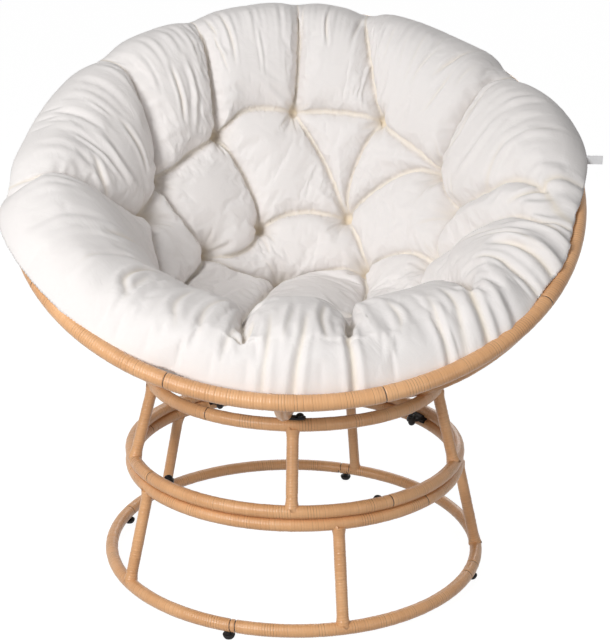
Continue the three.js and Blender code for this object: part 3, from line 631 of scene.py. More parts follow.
# The sewn edge, by direction in degrees: how far outside the rim tube's middle it lies and
# how far above it, in millimetres. The left side hangs out over the rim.
edge_rows = np.array([
    (0, 18, 30), (4, 27, 30), (15, 26, 30), (30, 12, 29), (45, 3, 29), (60, 5, 28), (75, -2, 28),
    (90, 8, 28), (105, 5, 28), (120, 2, 28), (135, 8, 28), (150, 12, 28), (165, 9, 28), (176, 8, 28),
    (184, 22, 28), (190, 33, 26), (198, 28, 22), (210, 13, 13), (225, -2, 4), (240, -12, -4),
    (255, -16, -9), (270, -16, -10), (285, -14, -9), (300, -12, -4), (315, -5, 3), (330, -5, 12),
    (345, 0, 23), (354, 4, 28), (360, 18, 30),
])
edge_soften, soften_steps = 4.0, 9

# Where creases reach the sewn edge they draw it in: direction, and how far in millimetres.
pinch_rows = {
    "right": (347, 10), "right_front": (330, 2), "e": (29, 18), "d": (71, 14), "c": (91, 6), "b": (121, 11),
    "a": (146, 10), "left": (186, 12),
}
pinch_width = 4.5


def edge_offset(direction):
    """How far outside and above the rim tube's middle the sewn edge lies, in metres: the mean
    of the edge's rows around the direction, less each pinch times exp(-(turn / width)²)."""
    around = direction + np.linspace(-edge_soften, edge_soften, soften_steps)
    out = np.interp(around, edge_rows[:, 0], edge_rows[:, 1], period=360).mean()
    up = np.interp(around, edge_rows[:, 0], edge_rows[:, 2], period=360).mean()
    for way, drawn in pinch_rows.values():
        turn = (direction - way + 180) % 360 - 180
        out -= drawn * math.exp(-(turn / pinch_width) ** 2)
    return out / 1000, up / 1000


knot_steps = 24


def smooth_line(points, count):
    """The centripetal Catmull-Rom curve through the points, at even steps, and its length. It
    mixes neighbouring points in three rounds, by how near the knots on both sides are."""
    p = np.asarray(points, float)
    p = np.vstack([2 * p[0] - p[1], p, 2 * p[-1] - p[-2]])
    knot = np.r_[0, np.cumsum(np.sqrt(np.linalg.norm(np.diff(p, axis=0), axis=1)))]
    spans = []
    for k in range(1, len(p) - 2):
        t0, t1, t2, t3 = knot[k - 1:k + 3]
        t = np.linspace(t1, t2, knot_steps, endpoint=False)[:, None]
        a1 = ((t1 - t) * p[k - 1] + (t - t0) * p[k]) / (t1 - t0)
        a2 = ((t2 - t) * p[k] + (t - t1) * p[k + 1]) / (t2 - t1)
        a3 = ((t3 - t) * p[k + 1] + (t - t2) * p[k + 2]) / (t3 - t2)
        b1 = ((t2 - t) * a1 + (t - t0) * a2) / (t2 - t0)
        b2 = ((t3 - t) * a2 + (t - t1) * a3) / (t3 - t1)
        spans.append(((t2 - t) * b1 + (t - t1) * b2) / (t2 - t1))
    line = np.vstack(spans + [p[-2:-1]])
    arc = np.r_[0, np.cumsum(np.linalg.norm(np.diff(line, axis=0), axis=1))]
    even = np.linspace(0, arc[-1], count)
    return np.stack([np.interp(even, arc, line[:, k]) for k in range(2)], -1), arc[-1]


def underside(direction):
    """The pad's underside at a direction: flat on the foot hoop, up the bowl line a little
    off the ribs, round the rim tube, and out to the sewn edge."""
    way = math.radians(direction)
    line = bowl_line(direction)
    slope = math.sin(way) * math.tan(rim_tilt)
    outwards = np.array([1, slope]) / math.hypot(1, slope)
    upwards = np.array([-outwards[1], outwards[0]])
    tangents = np.gradient(line, axis=0)
    tangents /= np.linalg.norm(tangents, axis=1, keepdims=True)
    off_rib = line + np.stack([tangents[:, 1], -tangents[:, 0]], -1) * (rib_radius + cushion_wall_gap)
    rest = foot_hoop_height + rib_radius + cushion_rest_gap
    front = max(0.0, -math.sin(way)) ** 2
    reach = rim_tube + rim_pass_gap
    passes = [line[0] + outwards * (reach * math.cos(math.radians(angle)) + front * out)
              + upwards * (reach * math.sin(math.radians(angle)) + front * up)
              for angle, out, up in rim_passes]
    out, up = edge_offset(direction)
    edge = line[0] + outwards * out + upwards * up
    flat = [(0, rest), (foot_hoop_radius * 0.6, rest), (foot_hoop_radius, rest),
            (foot_hoop_radius + rib_radius, rest)]
    return smooth_line([*flat, *off_rib[list(wall_points)], *passes, edge], share_steps)


under_rows = [underside(360 * k / (way_steps - 1)) for k in range(way_steps)]
under_lines = np.array([row[0] for row in under_rows])
under_lengths = np.array([row[1] for row in under_rows])


def under_point(row, share):
    """The underside at a row of its lines and a share of its length, as (distance, height),
    mixed from the two lines and the two steps next to it."""
    column = np.clip(share, 0, 1) * (share_steps - 1)
    r = np.clip(np.floor(row).astype(int), 0, way_steps - 2)
    c = np.clip(np.floor(column).astype(int), 0, share_steps - 2)
    past_row, past_column = (row - r)[..., None], (column - c)[..., None]
    here = under_lines[r, c] * (1 - past_row) + under_lines[r + 1, c] * past_row
    further = under_lines[r, c + 1] * (1 - past_row) + under_lines[r + 1, c + 1] * past_row
    return here * (1 - past_column) + further * past_column


# The pad laid flat has its middle behind the bowl's axis. Its height is measured square to a
# chord of the underside that reaches the bend span to each side.
pad_centre = np.array([0.0, 0.215])
pad_radius = 0.700
bend_span = 0.110


def lie(place, stand, bulge):
    """Lays places of the flat pad in the bowl: underside + square * stand + chord * bulge, in
    the upright plane of each place's direction."""
    way = np.arctan2(place[:, 1], place[:, 0]) % full_turn
    row = way / full_turn * (way_steps - 1)
    length = np.interp(row, np.arange(way_steps), under_lengths)
    share = np.minimum(np.hypot(place[:, 0], place[:, 1]) / length, 1)
    chord = under_point(row, share + bend_span / length) - under_point(row, share - bend_span / length)
    chord /= np.linalg.norm(chord, axis=1, keepdims=True)
    square = np.stack([-chord[:, 1], chord[:, 0]], -1)
    flat = under_point(row, share) + square * stand[:, None] + chord * bulge[:, None]
    return np.stack([flat[:, 0] * np.cos(way), flat[:, 0] * np.sin(way), flat[:, 1]], -1)


# The round sheet of radius 1 stands for the pad laid flat: its centre is the pad's centre
# and its rim the sewn edge.
turns = np.linspace(0, full_turn, way_steps)
flat_edge = np.stack([np.cos(turns), np.sin(turns)], -1) * under_lengths[:, None] - pad_centre
edge_angles = np.arctan2(flat_edge[:, 1], flat_edge[:, 0])
edge_reaches = np.hypot(flat_edge[:, 0], flat_edge[:, 1])


def flat_place(spots):
    """Places in the flat pad of spots of the round sheet."""
    reach = np.interp(np.arctan2(spots[:, 1], spots[:, 0]), edge_angles, edge_reaches, period=full_turn)
    return pad_centre + spots * reach[:, None]


def sheet_spot(place):
    """The spot of the round sheet for one place in the flat pad."""
    spot = np.asarray(place) - pad_centre
    return spot / np.interp(math.atan2(spot[1], spot[0]), edge_angles, edge_reaches, period=full_turn)


# Places of the tufts in the flat pad, and how high each stands off the underside.
tuft_rows = {
    "a": (-0.480, 0.314, 0.070), "b": (-0.324, 0.560, 0.070), "c": (-0.027, 0.692, 0.070),
    "d": (0.330, 0.596, 0.070), "e": (0.492, 0.335, 0.070), "f": (-0.123, 0.413, 0.070),
    "g": (0.159, 0.431, 0.070), "h": (0.189, 0.275, 0.070), "i": (-0.042, 0.257, 0.070),
    "j": (-0.273, 0.275, 0.070), "k": (-0.120, -0.095, 0.085), "l": (0.120, -0.070, 0.130),
    "m": (-0.465, 0.200, 0.075), "n": (0.378, 0.122, 0.080), "o": (-0.300, -0.010, 0.085),
    "p": (0.275, -0.010, 0.110), "q": (0.486, 0.185, 0.075),
}
# Creases run from tuft to tuft past a place between them. From the outer tufts they run on
# to the pinches in the sewn edge, or end in a place on the front roll.
crease_rows = [
    ("a", "b", (-0.430, 0.430)), ("b", "c", (-0.220, 0.665)), ("c", "d", (0.180, 0.672)),
    ("d", "e", (0.435, 0.470)), ("e", "g", (0.350, 0.440)), ("d", "g", (0.215, 0.530)),
    ("c", "g", (0.105, 0.569)), ("f", "g", (0.006, 0.464)), ("b", "f", (-0.200, 0.505)),
    ("a", "j", (-0.396, 0.281)), ("j", "i", (-0.165, 0.255)), ("i", "h", (0.078, 0.290)),
    ("g", "h", (0.200, 0.345)), ("f", "j", (-0.185, 0.320)), ("h", "n", (0.320, 0.230)),
    ("n", "q", (0.440, 0.160)), ("e", "q", (0.500, 0.260)), ("i", "k", (-0.070, 0.080)),
    ("j", "o", (-0.290, 0.130)), ("a", "m", (-0.480, 0.260)), ("o", "m", (-0.400, 0.080)),
    ("k", "o", (-0.190, -0.050)), ("k", "l", (0.000, -0.085)), ("l", "h", (0.150, 0.100)),
    ("l", "p", (0.185, -0.060)), ("p", "n", (0.335, 0.050)),
]
edge_crease_rows = [
    ("a", "a", (-0.590, 0.387)), ("b", "b", (-0.385, 0.640)), ("c", "c", (-0.010, 0.800)),
    ("d", "d", (0.325, 0.705)), ("e", "e", (0.610, 0.350)), ("q", "right", (0.620, 0.020)),
    ("m", "left", (-0.600, 0.000)), ("n", (0.590, -0.175), (0.545, -0.050)),
    ("p", (0.366, -0.284), (0.375, -0.150)), ("k", (-0.090, -0.390), (-0.115, -0.240)),
    ("l", (0.099, -0.370), (0.115, -0.220)),
]
crease_steps = 13


def curve(start, end, via):
    """Spots (1 - t)² start + 2 t (1 - t) middle + t² end of the round sheet, with the middle
    set so that the curve passes through via half-way."""
    t = np.linspace(0, 1, crease_steps)[:, None]
    middle = 2 * via - (start + end) / 2
    return (1 - t) ** 2 * start + 2 * t * (1 - t) * middle + t ** 2 * end


tufts = {name: sheet_spot(row[:2]) for name, row in tuft_rows.items()}
tuft_stands = [row[2] for row in tuft_rows.values()]
pinches = {name: flat_edge[row[0]] / edge_reaches[row[0]] for name, row in pinch_rows.items()}
creases = [curve(tufts[a], tufts[b], sheet_spot(via)) for a, b, via in crease_rows]
edge_creases = [curve(tufts[a], pinches[end] if end in pinches else sheet_spot(end), sheet_spot(via))
                for a, end, via in edge_crease_rows]


def near_line(spots, line):
    """Distance in metres from each spot to the line, and the share of its length there: the
    least of the distances to its straight pieces a + along * (b - a)."""
    nearest = np.full(len(spots), np.inf)
    share = np.zeros(len(spots))
    for k, (a, b) in enumerate(zip(line[:-1], line[1:])):
        along = np.clip(((spots - a) @ (b - a)) / ((b - a) @ (b - a)), 0, 1)
        far = np.linalg.norm(spots - a - along[:, None] * (b - a), axis=1)
        nearer = far < nearest
        nearest[nearer] = far[nearer]
        share[nearer] = (k + along[nearer]) / (len(line) - 1)
    return nearest * pad_radius, share


def near_lines(spots, lines):
    """Distance in metres from each spot to the nearest of the lines."""
    return np.min([near_line(spots, line)[0] for line in lines], axis=0)


def near_spots(spots, marks):
    """Distance in metres from each spot to each of the marks, one row for each mark."""
    return np.array([np.linalg.norm(spots - mark, axis=1) for mark in marks.values()]) * pad_radius


# The filled pad's shape, in metres off the underside. The crown is highest towards the edge,
# and differs by side. Small waves stand round each tuft and along the sewn edge.
pad_thickness = 0.140
crown_rise = dict(right=0.010, rear=-0.014, left=0.004, front=0.050)
crown_share, crown_spread_share = 0.78, 0.22
edge_rounding_share = 0.26
tuft_spread = 0.030
crease_depth_share, crease_spread = 0.18, 0.016
edge_crease_depth_share, edge_crease_spread = 0.24, 0.020
swell_room = 0.012
star_height, star_reach, star_counts = 0.0040, 0.030, (4, 7, 9)
ripple_height, ripple_reach, ripple_counts = 0.0035, 0.050, (43, 67, 98, 131)
ripple_rise = 8
wave_seed = 7


def by_side(sides, way):
    """A value for the right, rear, left and front that changes smoothly round the pad:
    cos² of the way times the side's value, plus sin² times the front's or rear's."""
    across = np.where(np.cos(way) > 0, sides["right"], sides["left"])
    along = np.where(np.sin(way) > 0, sides["rear"], sides["front"])
    return np.cos(way) ** 2 * across + np.sin(way) ** 2 * along


def mixed_waves(angle, counts, rng):
    """Half the sum of cos(count * angle + a random start), for each of the counts."""
    return sum(np.cos(count * angle + rng.uniform(0, full_turn)) for count in counts) / 2


def pad_stand(spots):
    """How far the upper sheet stands off the underside: (thickness + crown) * rounding * (1 -
    dip in the creases) - room to swell * sqrt(edge), drawn to each tuft's own stand by
    exp(-(distance / spread)^1.5), with the waves added."""
    place = flat_place(spots)
    way = np.arctan2(place[:, 1], place[:, 0])
    share = np.hypot(spots[:, 0], spots[:, 1])
    crown = by_side(crown_rise, way) * np.exp(-((share - crown_share) / crown_spread_share) ** 2)
    edge = np.clip((1 - share) / edge_rounding_share, 0, 1)
    rounded = np.sqrt(1 - (1 - edge) ** 2)
    dip = crease_depth_share * np.exp(-near_lines(spots, creases) / crease_spread)
    edge_dip = edge_crease_depth_share * np.exp(-near_lines(spots, edge_creases) / edge_crease_spread)
    stand = (pad_thickness + crown) * rounded * (1 - np.maximum(dip, edge_dip)) - swell_room * np.sqrt(edge)
    for far, tuft_stand in zip(near_spots(spots, tufts), tuft_stands):
        drawn = np.exp(-(far / tuft_spread) ** 1.5)
        stand = stand * (1 - drawn) + tuft_stand * drawn

    rng = np.random.default_rng(wave_seed)
    for tuft in tufts.values():
        away = spots - tuft
        far = np.linalg.norm(away, axis=1) * pad_radius
        star = mixed_waves(np.arctan2(away[:, 1], away[:, 0]), star_counts, rng)
        stand += star_height * star * np.exp(-((far - star_reach) / star_reach) ** 2)
    ripples = mixed_waves(np.arctan2(spots[:, 1], spots[:, 0]), ripple_counts, rng)
    ripple_fade = np.exp(-(1 - share) * pad_radius / ripple_reach) * np.minimum(edge * ripple_rise, 1)
    stand += ripple_height * ripples * ripple_fade
    return np.maximum(stand, 0)


# Over the sewn edge the upper sheet bulges, most at the front and not at all at the pinches.
# The scale brings the curve sqrt(edge) * (1 - edge)^1.5 up to 1 at its top.
side_bulge, front_bulge = 0.012, 0.024
bulge_scale = 3.08
pinch_reach = 0.045


def pad_bulge(spots):
    """How far the upper sheet swells out over the sewn edge: most * scale * sqrt(edge) *
    (1 - edge)^1.5 * (1 - exp(-(distance to a pinch / reach)²))."""
    place = flat_place(spots)
    way = np.arctan2(place[:, 1], place[:, 0])
    edge = np.clip((1 - np.hypot(spots[:, 0], spots[:, 1])) / edge_rounding_share, 0, 1)
    most = side_bulge + (front_bulge - side_bulge) * np.clip(-np.sin(way), 0, 1) ** 2
    pinched = np.exp(-(near_spots(spots, pinches).min(0) / pinch_reach) ** 2)
    return most * bulge_scale * np.sqrt(edge) * (1 - edge) ** 1.5 * (1 - pinched)


# The sheets' points: four rings along the edge, then a lattice inside them that keeps clear
# of the marks on tufts and creases. The margins are shares of the spacing.
edge_points = 580
edge_rings, ring_step_share = 4, 0.9
lattice_margin_share, mark_margin_share = 3.5, 3.4
mark_clearance_share = 0.62
merge_distance = 1e-9


def lattice_points(step, low, high):
    """A triangular lattice ((i + half on odd rows) * step, j * step * sqrt(3) / 2) between
    the radii low and high."""
    steps = int(2 / step) + 2
    i, j = np.meshgrid(np.arange(-steps, steps), np.arange(-steps, steps))
    x = (i + 0.5 * (j % 2)) * step
    y = j * step * math.sqrt(3) / 2
    inside = (np.hypot(x, y) < high) & (np.hypot(x, y) >= low)
    return np.stack([x[inside], y[inside]], -1)


def disc(spacing, marks=np.empty((0, 2)), coarse_inside=0.0, coarseness=1.0):
    """Even triangles over a round sheet of radius 1: the marks, rings of points along the
    edge and a triangular lattice inside them, which is coarser within coarse_inside."""
    rings = []
    for k in range(edge_rings):
        turn = (np.arange(edge_points) + 0.5 * (k % 2)) * full_turn / edge_points
        rings.append((1 - k * spacing * ring_step_share) * np.stack([np.cos(turn), np.sin(turn)], -1))
    coarse = spacing * coarseness
    lattice = np.vstack([lattice_points(spacing, coarse_inside, 1 - lattice_margin_share * spacing),
                         lattice_points(coarse, 0.0, coarse_inside - 0.5 * coarse)])
    marks = marks[np.hypot(marks[:, 0], marks[:, 1]) < 1 - mark_margin_share * spacing]
    clear = np.ones(len(lattice), bool)
    for mark in marks:
        far = np.hypot(lattice[:, 0] - mark[0], lattice[:, 1] - mark[1])
        clear &= far > mark_clearance_share * spacing
    points = np.vstack(rings + [marks, lattice[clear]])
    made = delaunay_2d_cdt([Vector(p) for p in points], [], [list(range(edge_points))], 1, merge_distance)
    return np.array([tuple(p) for p in made[0]]), np.array(made[2])


def marks_along(lines, spacing):
    """Spots at even steps along the lines, without their ends."""
    rows = []
    for line in lines:
        arc = np.r_[0, np.cumsum(np.linalg.norm(np.diff(line, axis=0), axis=1))]
        even = np.linspace(0, arc[-1], max(2, round(arc[-1] / spacing)) + 1)[1:-1]
        rows.append(np.stack([np.interp(even, arc, line[:, k]) for k in range(2)], -1))
    return np.vstack(rows)


# The two sheets share the points of the sewn edge, which come first in both.
sheet_spacing = 0.0075 / pad_radius
coarse_share, coarseness = 0.86, 2.5
crease_marks = np.vstack([list(tufts.values()), marks_along(creases + edge_creases, sheet_spacing)])
upper_spots, upper_faces = disc(sheet_spacing, crease_marks)
lower_spots, lower_faces = disc(sheet_spacing, coarse_inside=coarse_share, coarseness=coarseness)
upper = lie(flat_place(upper_spots), pad_stand(upper_spots), pad_bulge(upper_spots))
level = np.zeros(len(lower_spots))
lower = lie(flat_place(lower_spots), level, level)
points = np.vstack([upper, lower[edge_points:]])
lower_faces = np.where(lower_faces < edge_points, lower_faces, lower_faces + len(upper) - edge_points)
faces = np.vstack([upper_faces, lower_faces[:, ::-1]])
sewn_mesh = bpy.data.meshes.new("cushion_cover")
sewn_mesh.from_pydata(points.tolist(), [], faces.tolist())
cushion = add_object("cushion_cover", sewn_mesh)

# The filling blows the cover up, with Cloth and an inner pressure. The cover is held
# underneath, at the tufts, along the creases and at the pinches, and the outer part of the
# upper sheet is cut a little large. Each point swells no further than its cap: little
# underneath, most on the upper sheet and less at the sewn edge.
upper_cap, lower_cap, edge_cap = 0.024, 0.0025, 0.012
edge_from_share = 0.9
held_beside_crease, held_round_tuft, held_round_pinch = 0.0015, 0.006, 0.008
held_under_share, held_crease_share = 0.93, 0.97
slack_from_share, slack_span_share = 0.55, 0.3
fill_frames = 20
is_upper = np.arange(len(points)) < len(upper)
spots = np.vstack([upper_spots, lower_spots[edge_points:]])
spot_share = np.hypot(spots[:, 0], spots[:, 1])
near_edge = np.clip((spot_share - edge_from_share) / (1 - edge_from_share), 0, 1) ** 2
swell_cap = np.where(is_upper, upper_cap, lower_cap) * (1 - near_edge) + edge_cap * near_edge
on_crease = near_lines(spots, creases) < held_beside_crease
on_crease |= (near_lines(spots, edge_creases) < held_beside_crease) & (spot_share < held_crease_share)
on_tuft = near_spots(spots, tufts).min(0) < held_round_tuft
on_pinch = near_spots(spots, pinches).min(0) < held_round_pinch
held = np.where(is_upper, on_crease | on_tuft, spot_share < held_under_share) | on_pinch

grip = cushion.vertex_groups.new(name="held")
grip.add(np.nonzero(held)[0].tolist(), 1.0, "REPLACE")
slack = cushion.vertex_groups.new(name="slack")
slack_share = np.where(is_upper, np.clip((spot_share - slack_from_share) / slack_span_share, 0, 1), 0)
for k, weight in enumerate(np.round(slack_share, 3).tolist()):
    slack.add([k], weight, "REPLACE")
cloth = cushion.modifiers.new("filling", "CLOTH")
settings = cloth.settings
settings.quality = 5
settings.mass = 0.25
settings.air_damping = 4
settings.tension_stiffness = settings.compression_stiffness = 12
settings.shear_stiffness = 6
settings.bending_stiffness = 0.15
settings.use_pressure = True
settings.uniform_pressure_force = 4.0
settings.vertex_group_shrink = "slack"
settings.shrink_min = -0.03
settings.shrink_max = -0.09
settings.vertex_group_mass = "held"
settings.pin_stiffness = 4
settings.effector_weights.gravity = 0
cloth.collision_settings.use_collision = False
cloth.point_cache.frame_start = 1
cloth.point_cache.frame_end = fill_frames
for step in range(1, fill_frames + 1):
    bpy.context.scene.frame_set(step)
swollen_mesh = cushion.evaluated_get(bpy.context.evaluated_depsgraph_get()).to_mesh()
swollen = np.empty(len(points) * 3, np.float32)
swollen_mesh.vertices.foreach_get("co", swollen)
cushion.modifiers.remove(cloth)
bpy.context.scene.frame_set(1)
move = swollen.reshape(-1, 3) - points
moved = np.maximum(np.linalg.norm(move, axis=1), 1e-9)
points = points + move * np.minimum(1, swell_cap / moved)[:, None]

# The sewn edge is smoothed: each of its points goes to the mean of itself, taken twice, and
# its two neighbours.
edge_smoothings = 4
for step in range(edge_smoothings):
    sewn = points[:edge_points]
    points[:edge_points] = (np.roll(sewn, 1, axis=0) + 2 * sewn + np.roll(sewn, -1, axis=0)) / 4
sewn_mesh.vertices.foreach_set("co", points.ravel().astype(np.float32))
sewn_mesh.update()

# One subdivision makes the cover fine enough for its folds. Each point keeps its spot, and 1
# for the upper sheet or 0 for the lower.
spot_layer = sewn_mesh.attributes.new("spot", "FLOAT_VECTOR", "POINT")
spot_layer.data.foreach_set("vector", np.c_[spots, is_upper].ravel().astype(np.float32))
finer = cushion.modifiers.new("finer", "SUBSURF")
finer.levels = finer.render_levels = 1
cover_mesh = bpy.data.meshes.new_from_object(cushion.evaluated_get(bpy.context.evaluated_depsgraph_get()))
cushion.modifiers.remove(finer)
cushion.data = cover_mesh
bpy.data.meshes.remove(sewn_mesh)
cover_count = len(cover_mesh.vertices)


def read_vectors(layer, key):
    """The vectors of the cover's points, one row each."""
    values = np.empty(cover_count * 3, np.float32)
    layer.foreach_get(key, values)
    return values.reshape(-1, 3).astype(float)


cover_points = read_vectors(cover_mesh.vertices, "co")
outwards = read_vectors(cover_mesh.vertex_normals, "vector")
cover_spots = read_vectors(cover_mesh.attributes["spot"].data, "vector")
on_upper = cover_spots[:, 2] > 0.99
on_lower = cover_spots[:, 2] < 0.01
upper_cover = cover_spots[on_upper, :2]
lower_cover = cover_spots[on_lower, :2]

# Folds in the cover that show most: places along each in the flat pad, then how deep it is
# and how wide to each side, in millimetres. A negative depth is a fold that stands up.
fold_rows = [
    ([(0.585, -0.060), (0.612, -0.072), (0.664, -0.057), (0.700, -0.045)], 6, 6),
    ([(0.590, -0.095), (0.620, -0.110), (0.665, -0.095)], -5, 8),
    ([(0.566, -0.120), (0.600, -0.150), (0.640, -0.165)], 5, 6),
    ([(0.550, -0.150), (0.585, -0.200), (0.600, -0.260)], -6, 9),
    ([(0.490, -0.197), (0.520, -0.235), (0.530, -0.290)], 6, 7),
    ([(0.505, -0.185), (0.545, -0.235), (0.560, -0.300)], -5, 8),
    ([(0.440, -0.215), (0.475, -0.260), (0.482, -0.310)], 5, 6),
    ([(0.366, -0.284), (0.354, -0.337), (0.350, -0.400)], 7, 7),
    ([(0.400, -0.270), (0.395, -0.330), (0.405, -0.390)], -5, 9),
    ([(0.310, -0.310), (0.315, -0.360), (0.300, -0.400)], 4, 6),
    ([(0.273, -0.340), (0.270, -0.385), (0.280, -0.430)], 4, 6),
    ([(0.190, -0.330), (0.200, -0.360), (0.195, -0.390)], 3, 6),
    ([(0.110, -0.300), (0.097, -0.377), (0.100, -0.430), (0.130, -0.480)], 7, 7),
    ([(0.140, -0.280), (0.135, -0.350), (0.150, -0.410)], -5, 9),
    ([(0.060, -0.330), (0.050, -0.370), (0.055, -0.410)], 4, 6),
    ([(0.022, -0.370), (0.009, -0.435), (-0.025, -0.480)], 5, 6),
    ([(-0.012, -0.350), (-0.020, -0.400), (-0.015, -0.430)], -4, 8),
    ([(-0.080, -0.365), (-0.088, -0.400), (-0.112, -0.396)], 6, 6),
    ([(-0.045, -0.370), (-0.046, -0.420), (-0.060, -0.465)], 4, 6),
    ([(-0.150, -0.300), (-0.180, -0.350), (-0.175, -0.400)], 3, 7),
    ([(-0.230, -0.300), (-0.240, -0.350), (-0.225, -0.390)], 3, 7),
    ([(-0.300, -0.225), (-0.344, -0.259), (-0.360, -0.320), (-0.335, -0.352)], 5, 6),
    ([(-0.280, -0.270), (-0.310, -0.310), (-0.325, -0.350)], -4, 9),
    ([(-0.440, -0.120), (-0.462, -0.150), (-0.470, -0.200)], 4, 7),
    ([(-0.640, 0.060), (-0.600, 0.045), (-0.570, 0.050)], 4, 6),
    ([(-0.670, 0.130), (-0.610, 0.130), (-0.560, 0.150)], -4, 9),
    ([(-0.560, 0.230), (-0.600, 0.240), (-0.650, 0.235)], 3, 7),
    ([(-0.500, 0.480), (-0.520, 0.510), (-0.560, 0.540)], 4, 7),
    ([(-0.450, 0.500), (-0.480, 0.570), (-0.520, 0.600)], -4, 9),
    ([(0.560, 0.300), (0.620, 0.285), (0.680, 0.300)], 3, 7),
    ([(0.560, 0.200), (0.640, 0.170), (0.690, 0.180)], -4, 9),
    ([(0.545, 0.100), (0.600, 0.085), (0.660, 0.100)], 3, 7),
]
fold_steps = 12
folds = [(smooth_line([sheet_spot(place) for place in places], fold_steps)[0], depth, width)
         for places, depth, width in fold_rows]

# Gathers run in from the sewn edge, slanted and bowed at random. Their lengths, leans and
# bows are in metres of the flat pad, depths and widths in millimetres, as for the folds.
fold_seed = 11
rng = np.random.default_rng(fold_seed)
gather_count, gather_steps = 64, 6
gather_lengths, gather_depths, gather_widths = (0.025, 0.110), (-2.5, 4.0), (5, 9)
gather_lean_share = 0.6
gather_start_share, gather_setback_share = 0.985, 0.3
gathers = []
for k in range(gather_count):
    way = rng.uniform(0, full_turn)
    length = rng.uniform(*gather_lengths) / pad_radius
    lean, bow = rng.uniform(-gather_lean_share, gather_lean_share, 2) * length
    steps = np.linspace(0, 1, gather_steps)
    reaches = gather_start_share - gather_setback_share * length * (k % 3) - steps * length
    ways = way + steps * lean + steps * (1 - steps) * bow
    gather = np.stack([reaches * np.cos(ways), reaches * np.sin(ways)], -1)
    gathers.append((gather, rng.uniform(*gather_depths), rng.uniform(*gather_widths)))
folds += gathers

# Small folds run out from each tuft, as straight lines in directions near an even star.
star_folds, star_inner_end = 6, 0.010 / pad_radius
star_outer_ends, star_depths, star_widths = (0.025, 0.080), (0.6, 2.6), (4, 6)
star_swing_share, star_bend = 0.45, 0.3
for tuft in tufts.values():
    for k in range(star_folds):
        way = full_turn * (k + rng.uniform(-star_swing_share, star_swing_share)) / star_folds
        bend = way + rng.uniform(-star_bend, star_bend)
        star_outer_end = rng.uniform(*star_outer_ends) / pad_radius
        inner_end = tuft + star_inner_end * np.array((math.cos(way), math.sin(way)))
        outer_end = tuft + star_outer_end * np.array((math.cos(bend), math.sin(bend)))
        folds.append((np.array([inner_end, outer_end]), rng.uniform(*star_depths), rng.uniform(*star_widths)))

# A fold's sides are raised at their place, in widths from its line. Its shade is narrower
# than its hollow, and is full from the full shade's depth on, in millimetres.
side_rise_share, side_place = 0.45, 2.2
shade_narrowing, full_shade_depth = 1.4, 14
fold_end_share = 0.03


def fold_section(spots, line, depth, width):
    """How far a fold draws the cover in: depth * fade * (exp(-r²) - rise * exp(-(r - side)²))
    at r widths from its line, where fade is the root of a sine along it. And how much of its
    shade lies there: fade * exp(-(narrowing * r)²), in proportion to its depth."""
    far, along = near_line(spots, line)
    fade = np.sqrt(np.sin(math.pi * np.clip(along, fold_end_share, 1 - fold_end_share)))
    ratio = far / (width / 1000)
    raised = side_rise_share * np.exp(-(ratio - side_place) ** 2)
    drawn = depth / 1000 * fade * (np.exp(-ratio ** 2) - raised)
    shade = min(1, max(0, depth) / full_shade_depth) * fade * np.exp(-(shade_narrowing * ratio) ** 2)
    return drawn, shade


# The thread draws the cover down in a narrow line along each crease, up to near the edge,
# and at each tuft. There, and in each fold's shade, the cover gets a darker, warmer painted
# shade in its colour.
thread_draw, thread_width, thread_end_share = 0.0045, 0.0050, 0.96
tuft_draw, tuft_width = 0.012, 0.011
crease_shade_strength, crease_shade_width = 0.38, 0.0040
tuft_shade_strength, tuft_shade_reach = 0.9, 0.012
crease_far = near_lines(upper_cover, creases + edge_creases)
tuft_far = near_spots(upper_cover, tufts).min(0)
threaded = np.hypot(upper_cover[:, 0], upper_cover[:, 1]) < thread_end_share
sunk = thread_draw * np.exp(-(crease_far / thread_width) ** 2) * threaded
sunk = np.maximum(sunk, tuft_draw * np.exp(-(tuft_far / tuft_width) ** 2))
painted_cover_shade = np.maximum(crease_shade_strength * np.exp(-(crease_far / crease_shade_width) ** 2),
                    tuft_shade_strength * np.exp(-tuft_far / tuft_shade_reach))
for line, depth, width in folds:
    drawn, shade = fold_section(upper_cover, line, depth, width)
    sunk += drawn
    painted_cover_shade = np.maximum(painted_cover_shade, shade)
cover_points[on_upper] -= outwards[on_upper] * sunk[:, None]

# Underneath, the filling presses the cover out between the six ribs, and each tuft's thread
# draws a dimple in it. The gathers run on round the sewn edge, less deep.
rib_bulge, bulge_from_share, bulge_span_share = 0.009, 0.28, 0.56
dimple_draw, dimple_width = 0.012, 0.022
# Each dimple also gets a painted shade, darker and warmer, in the cover's colour.
dimple_shade_strength, dimple_shade_reach = 0.8, 0.014
under_gather_share, under_gather_from_share = 2 / 3, 0.86
lower_place = flat_place(lower_cover)
lower_way = np.arctan2(lower_place[:, 1], lower_place[:, 0])
lower_length = np.interp(lower_way, turns, under_lengths, period=full_turn)
lower_share = np.hypot(lower_place[:, 0], lower_place[:, 1]) / lower_length
clear_of_ribs = np.sin(len(rib_ways) / 2 * (lower_way - math.radians(rib_ways[0]))) ** 2
out_share = np.clip((lower_share - bulge_from_share) / bulge_span_share, 0, 1)
pressed = rib_bulge * clear_of_ribs * np.sin(math.pi * out_share)
dimple_far = near_spots(lower_cover, tufts).min(0)
pressed -= dimple_draw * np.exp(-(dimple_far / dimple_width) ** 1.5)
gathered = lower_share > under_gather_from_share
for line, depth, width in gathers:
    pressed -= under_gather_share * fold_section(lower_cover, line, depth, width)[0] * gathered
cover_points[on_lower] += outwards[on_lower] * pressed[:, None]
cover_mesh.vertices.foreach_set("co", cover_points.ravel().astype(np.float32))
cover_mesh.update()
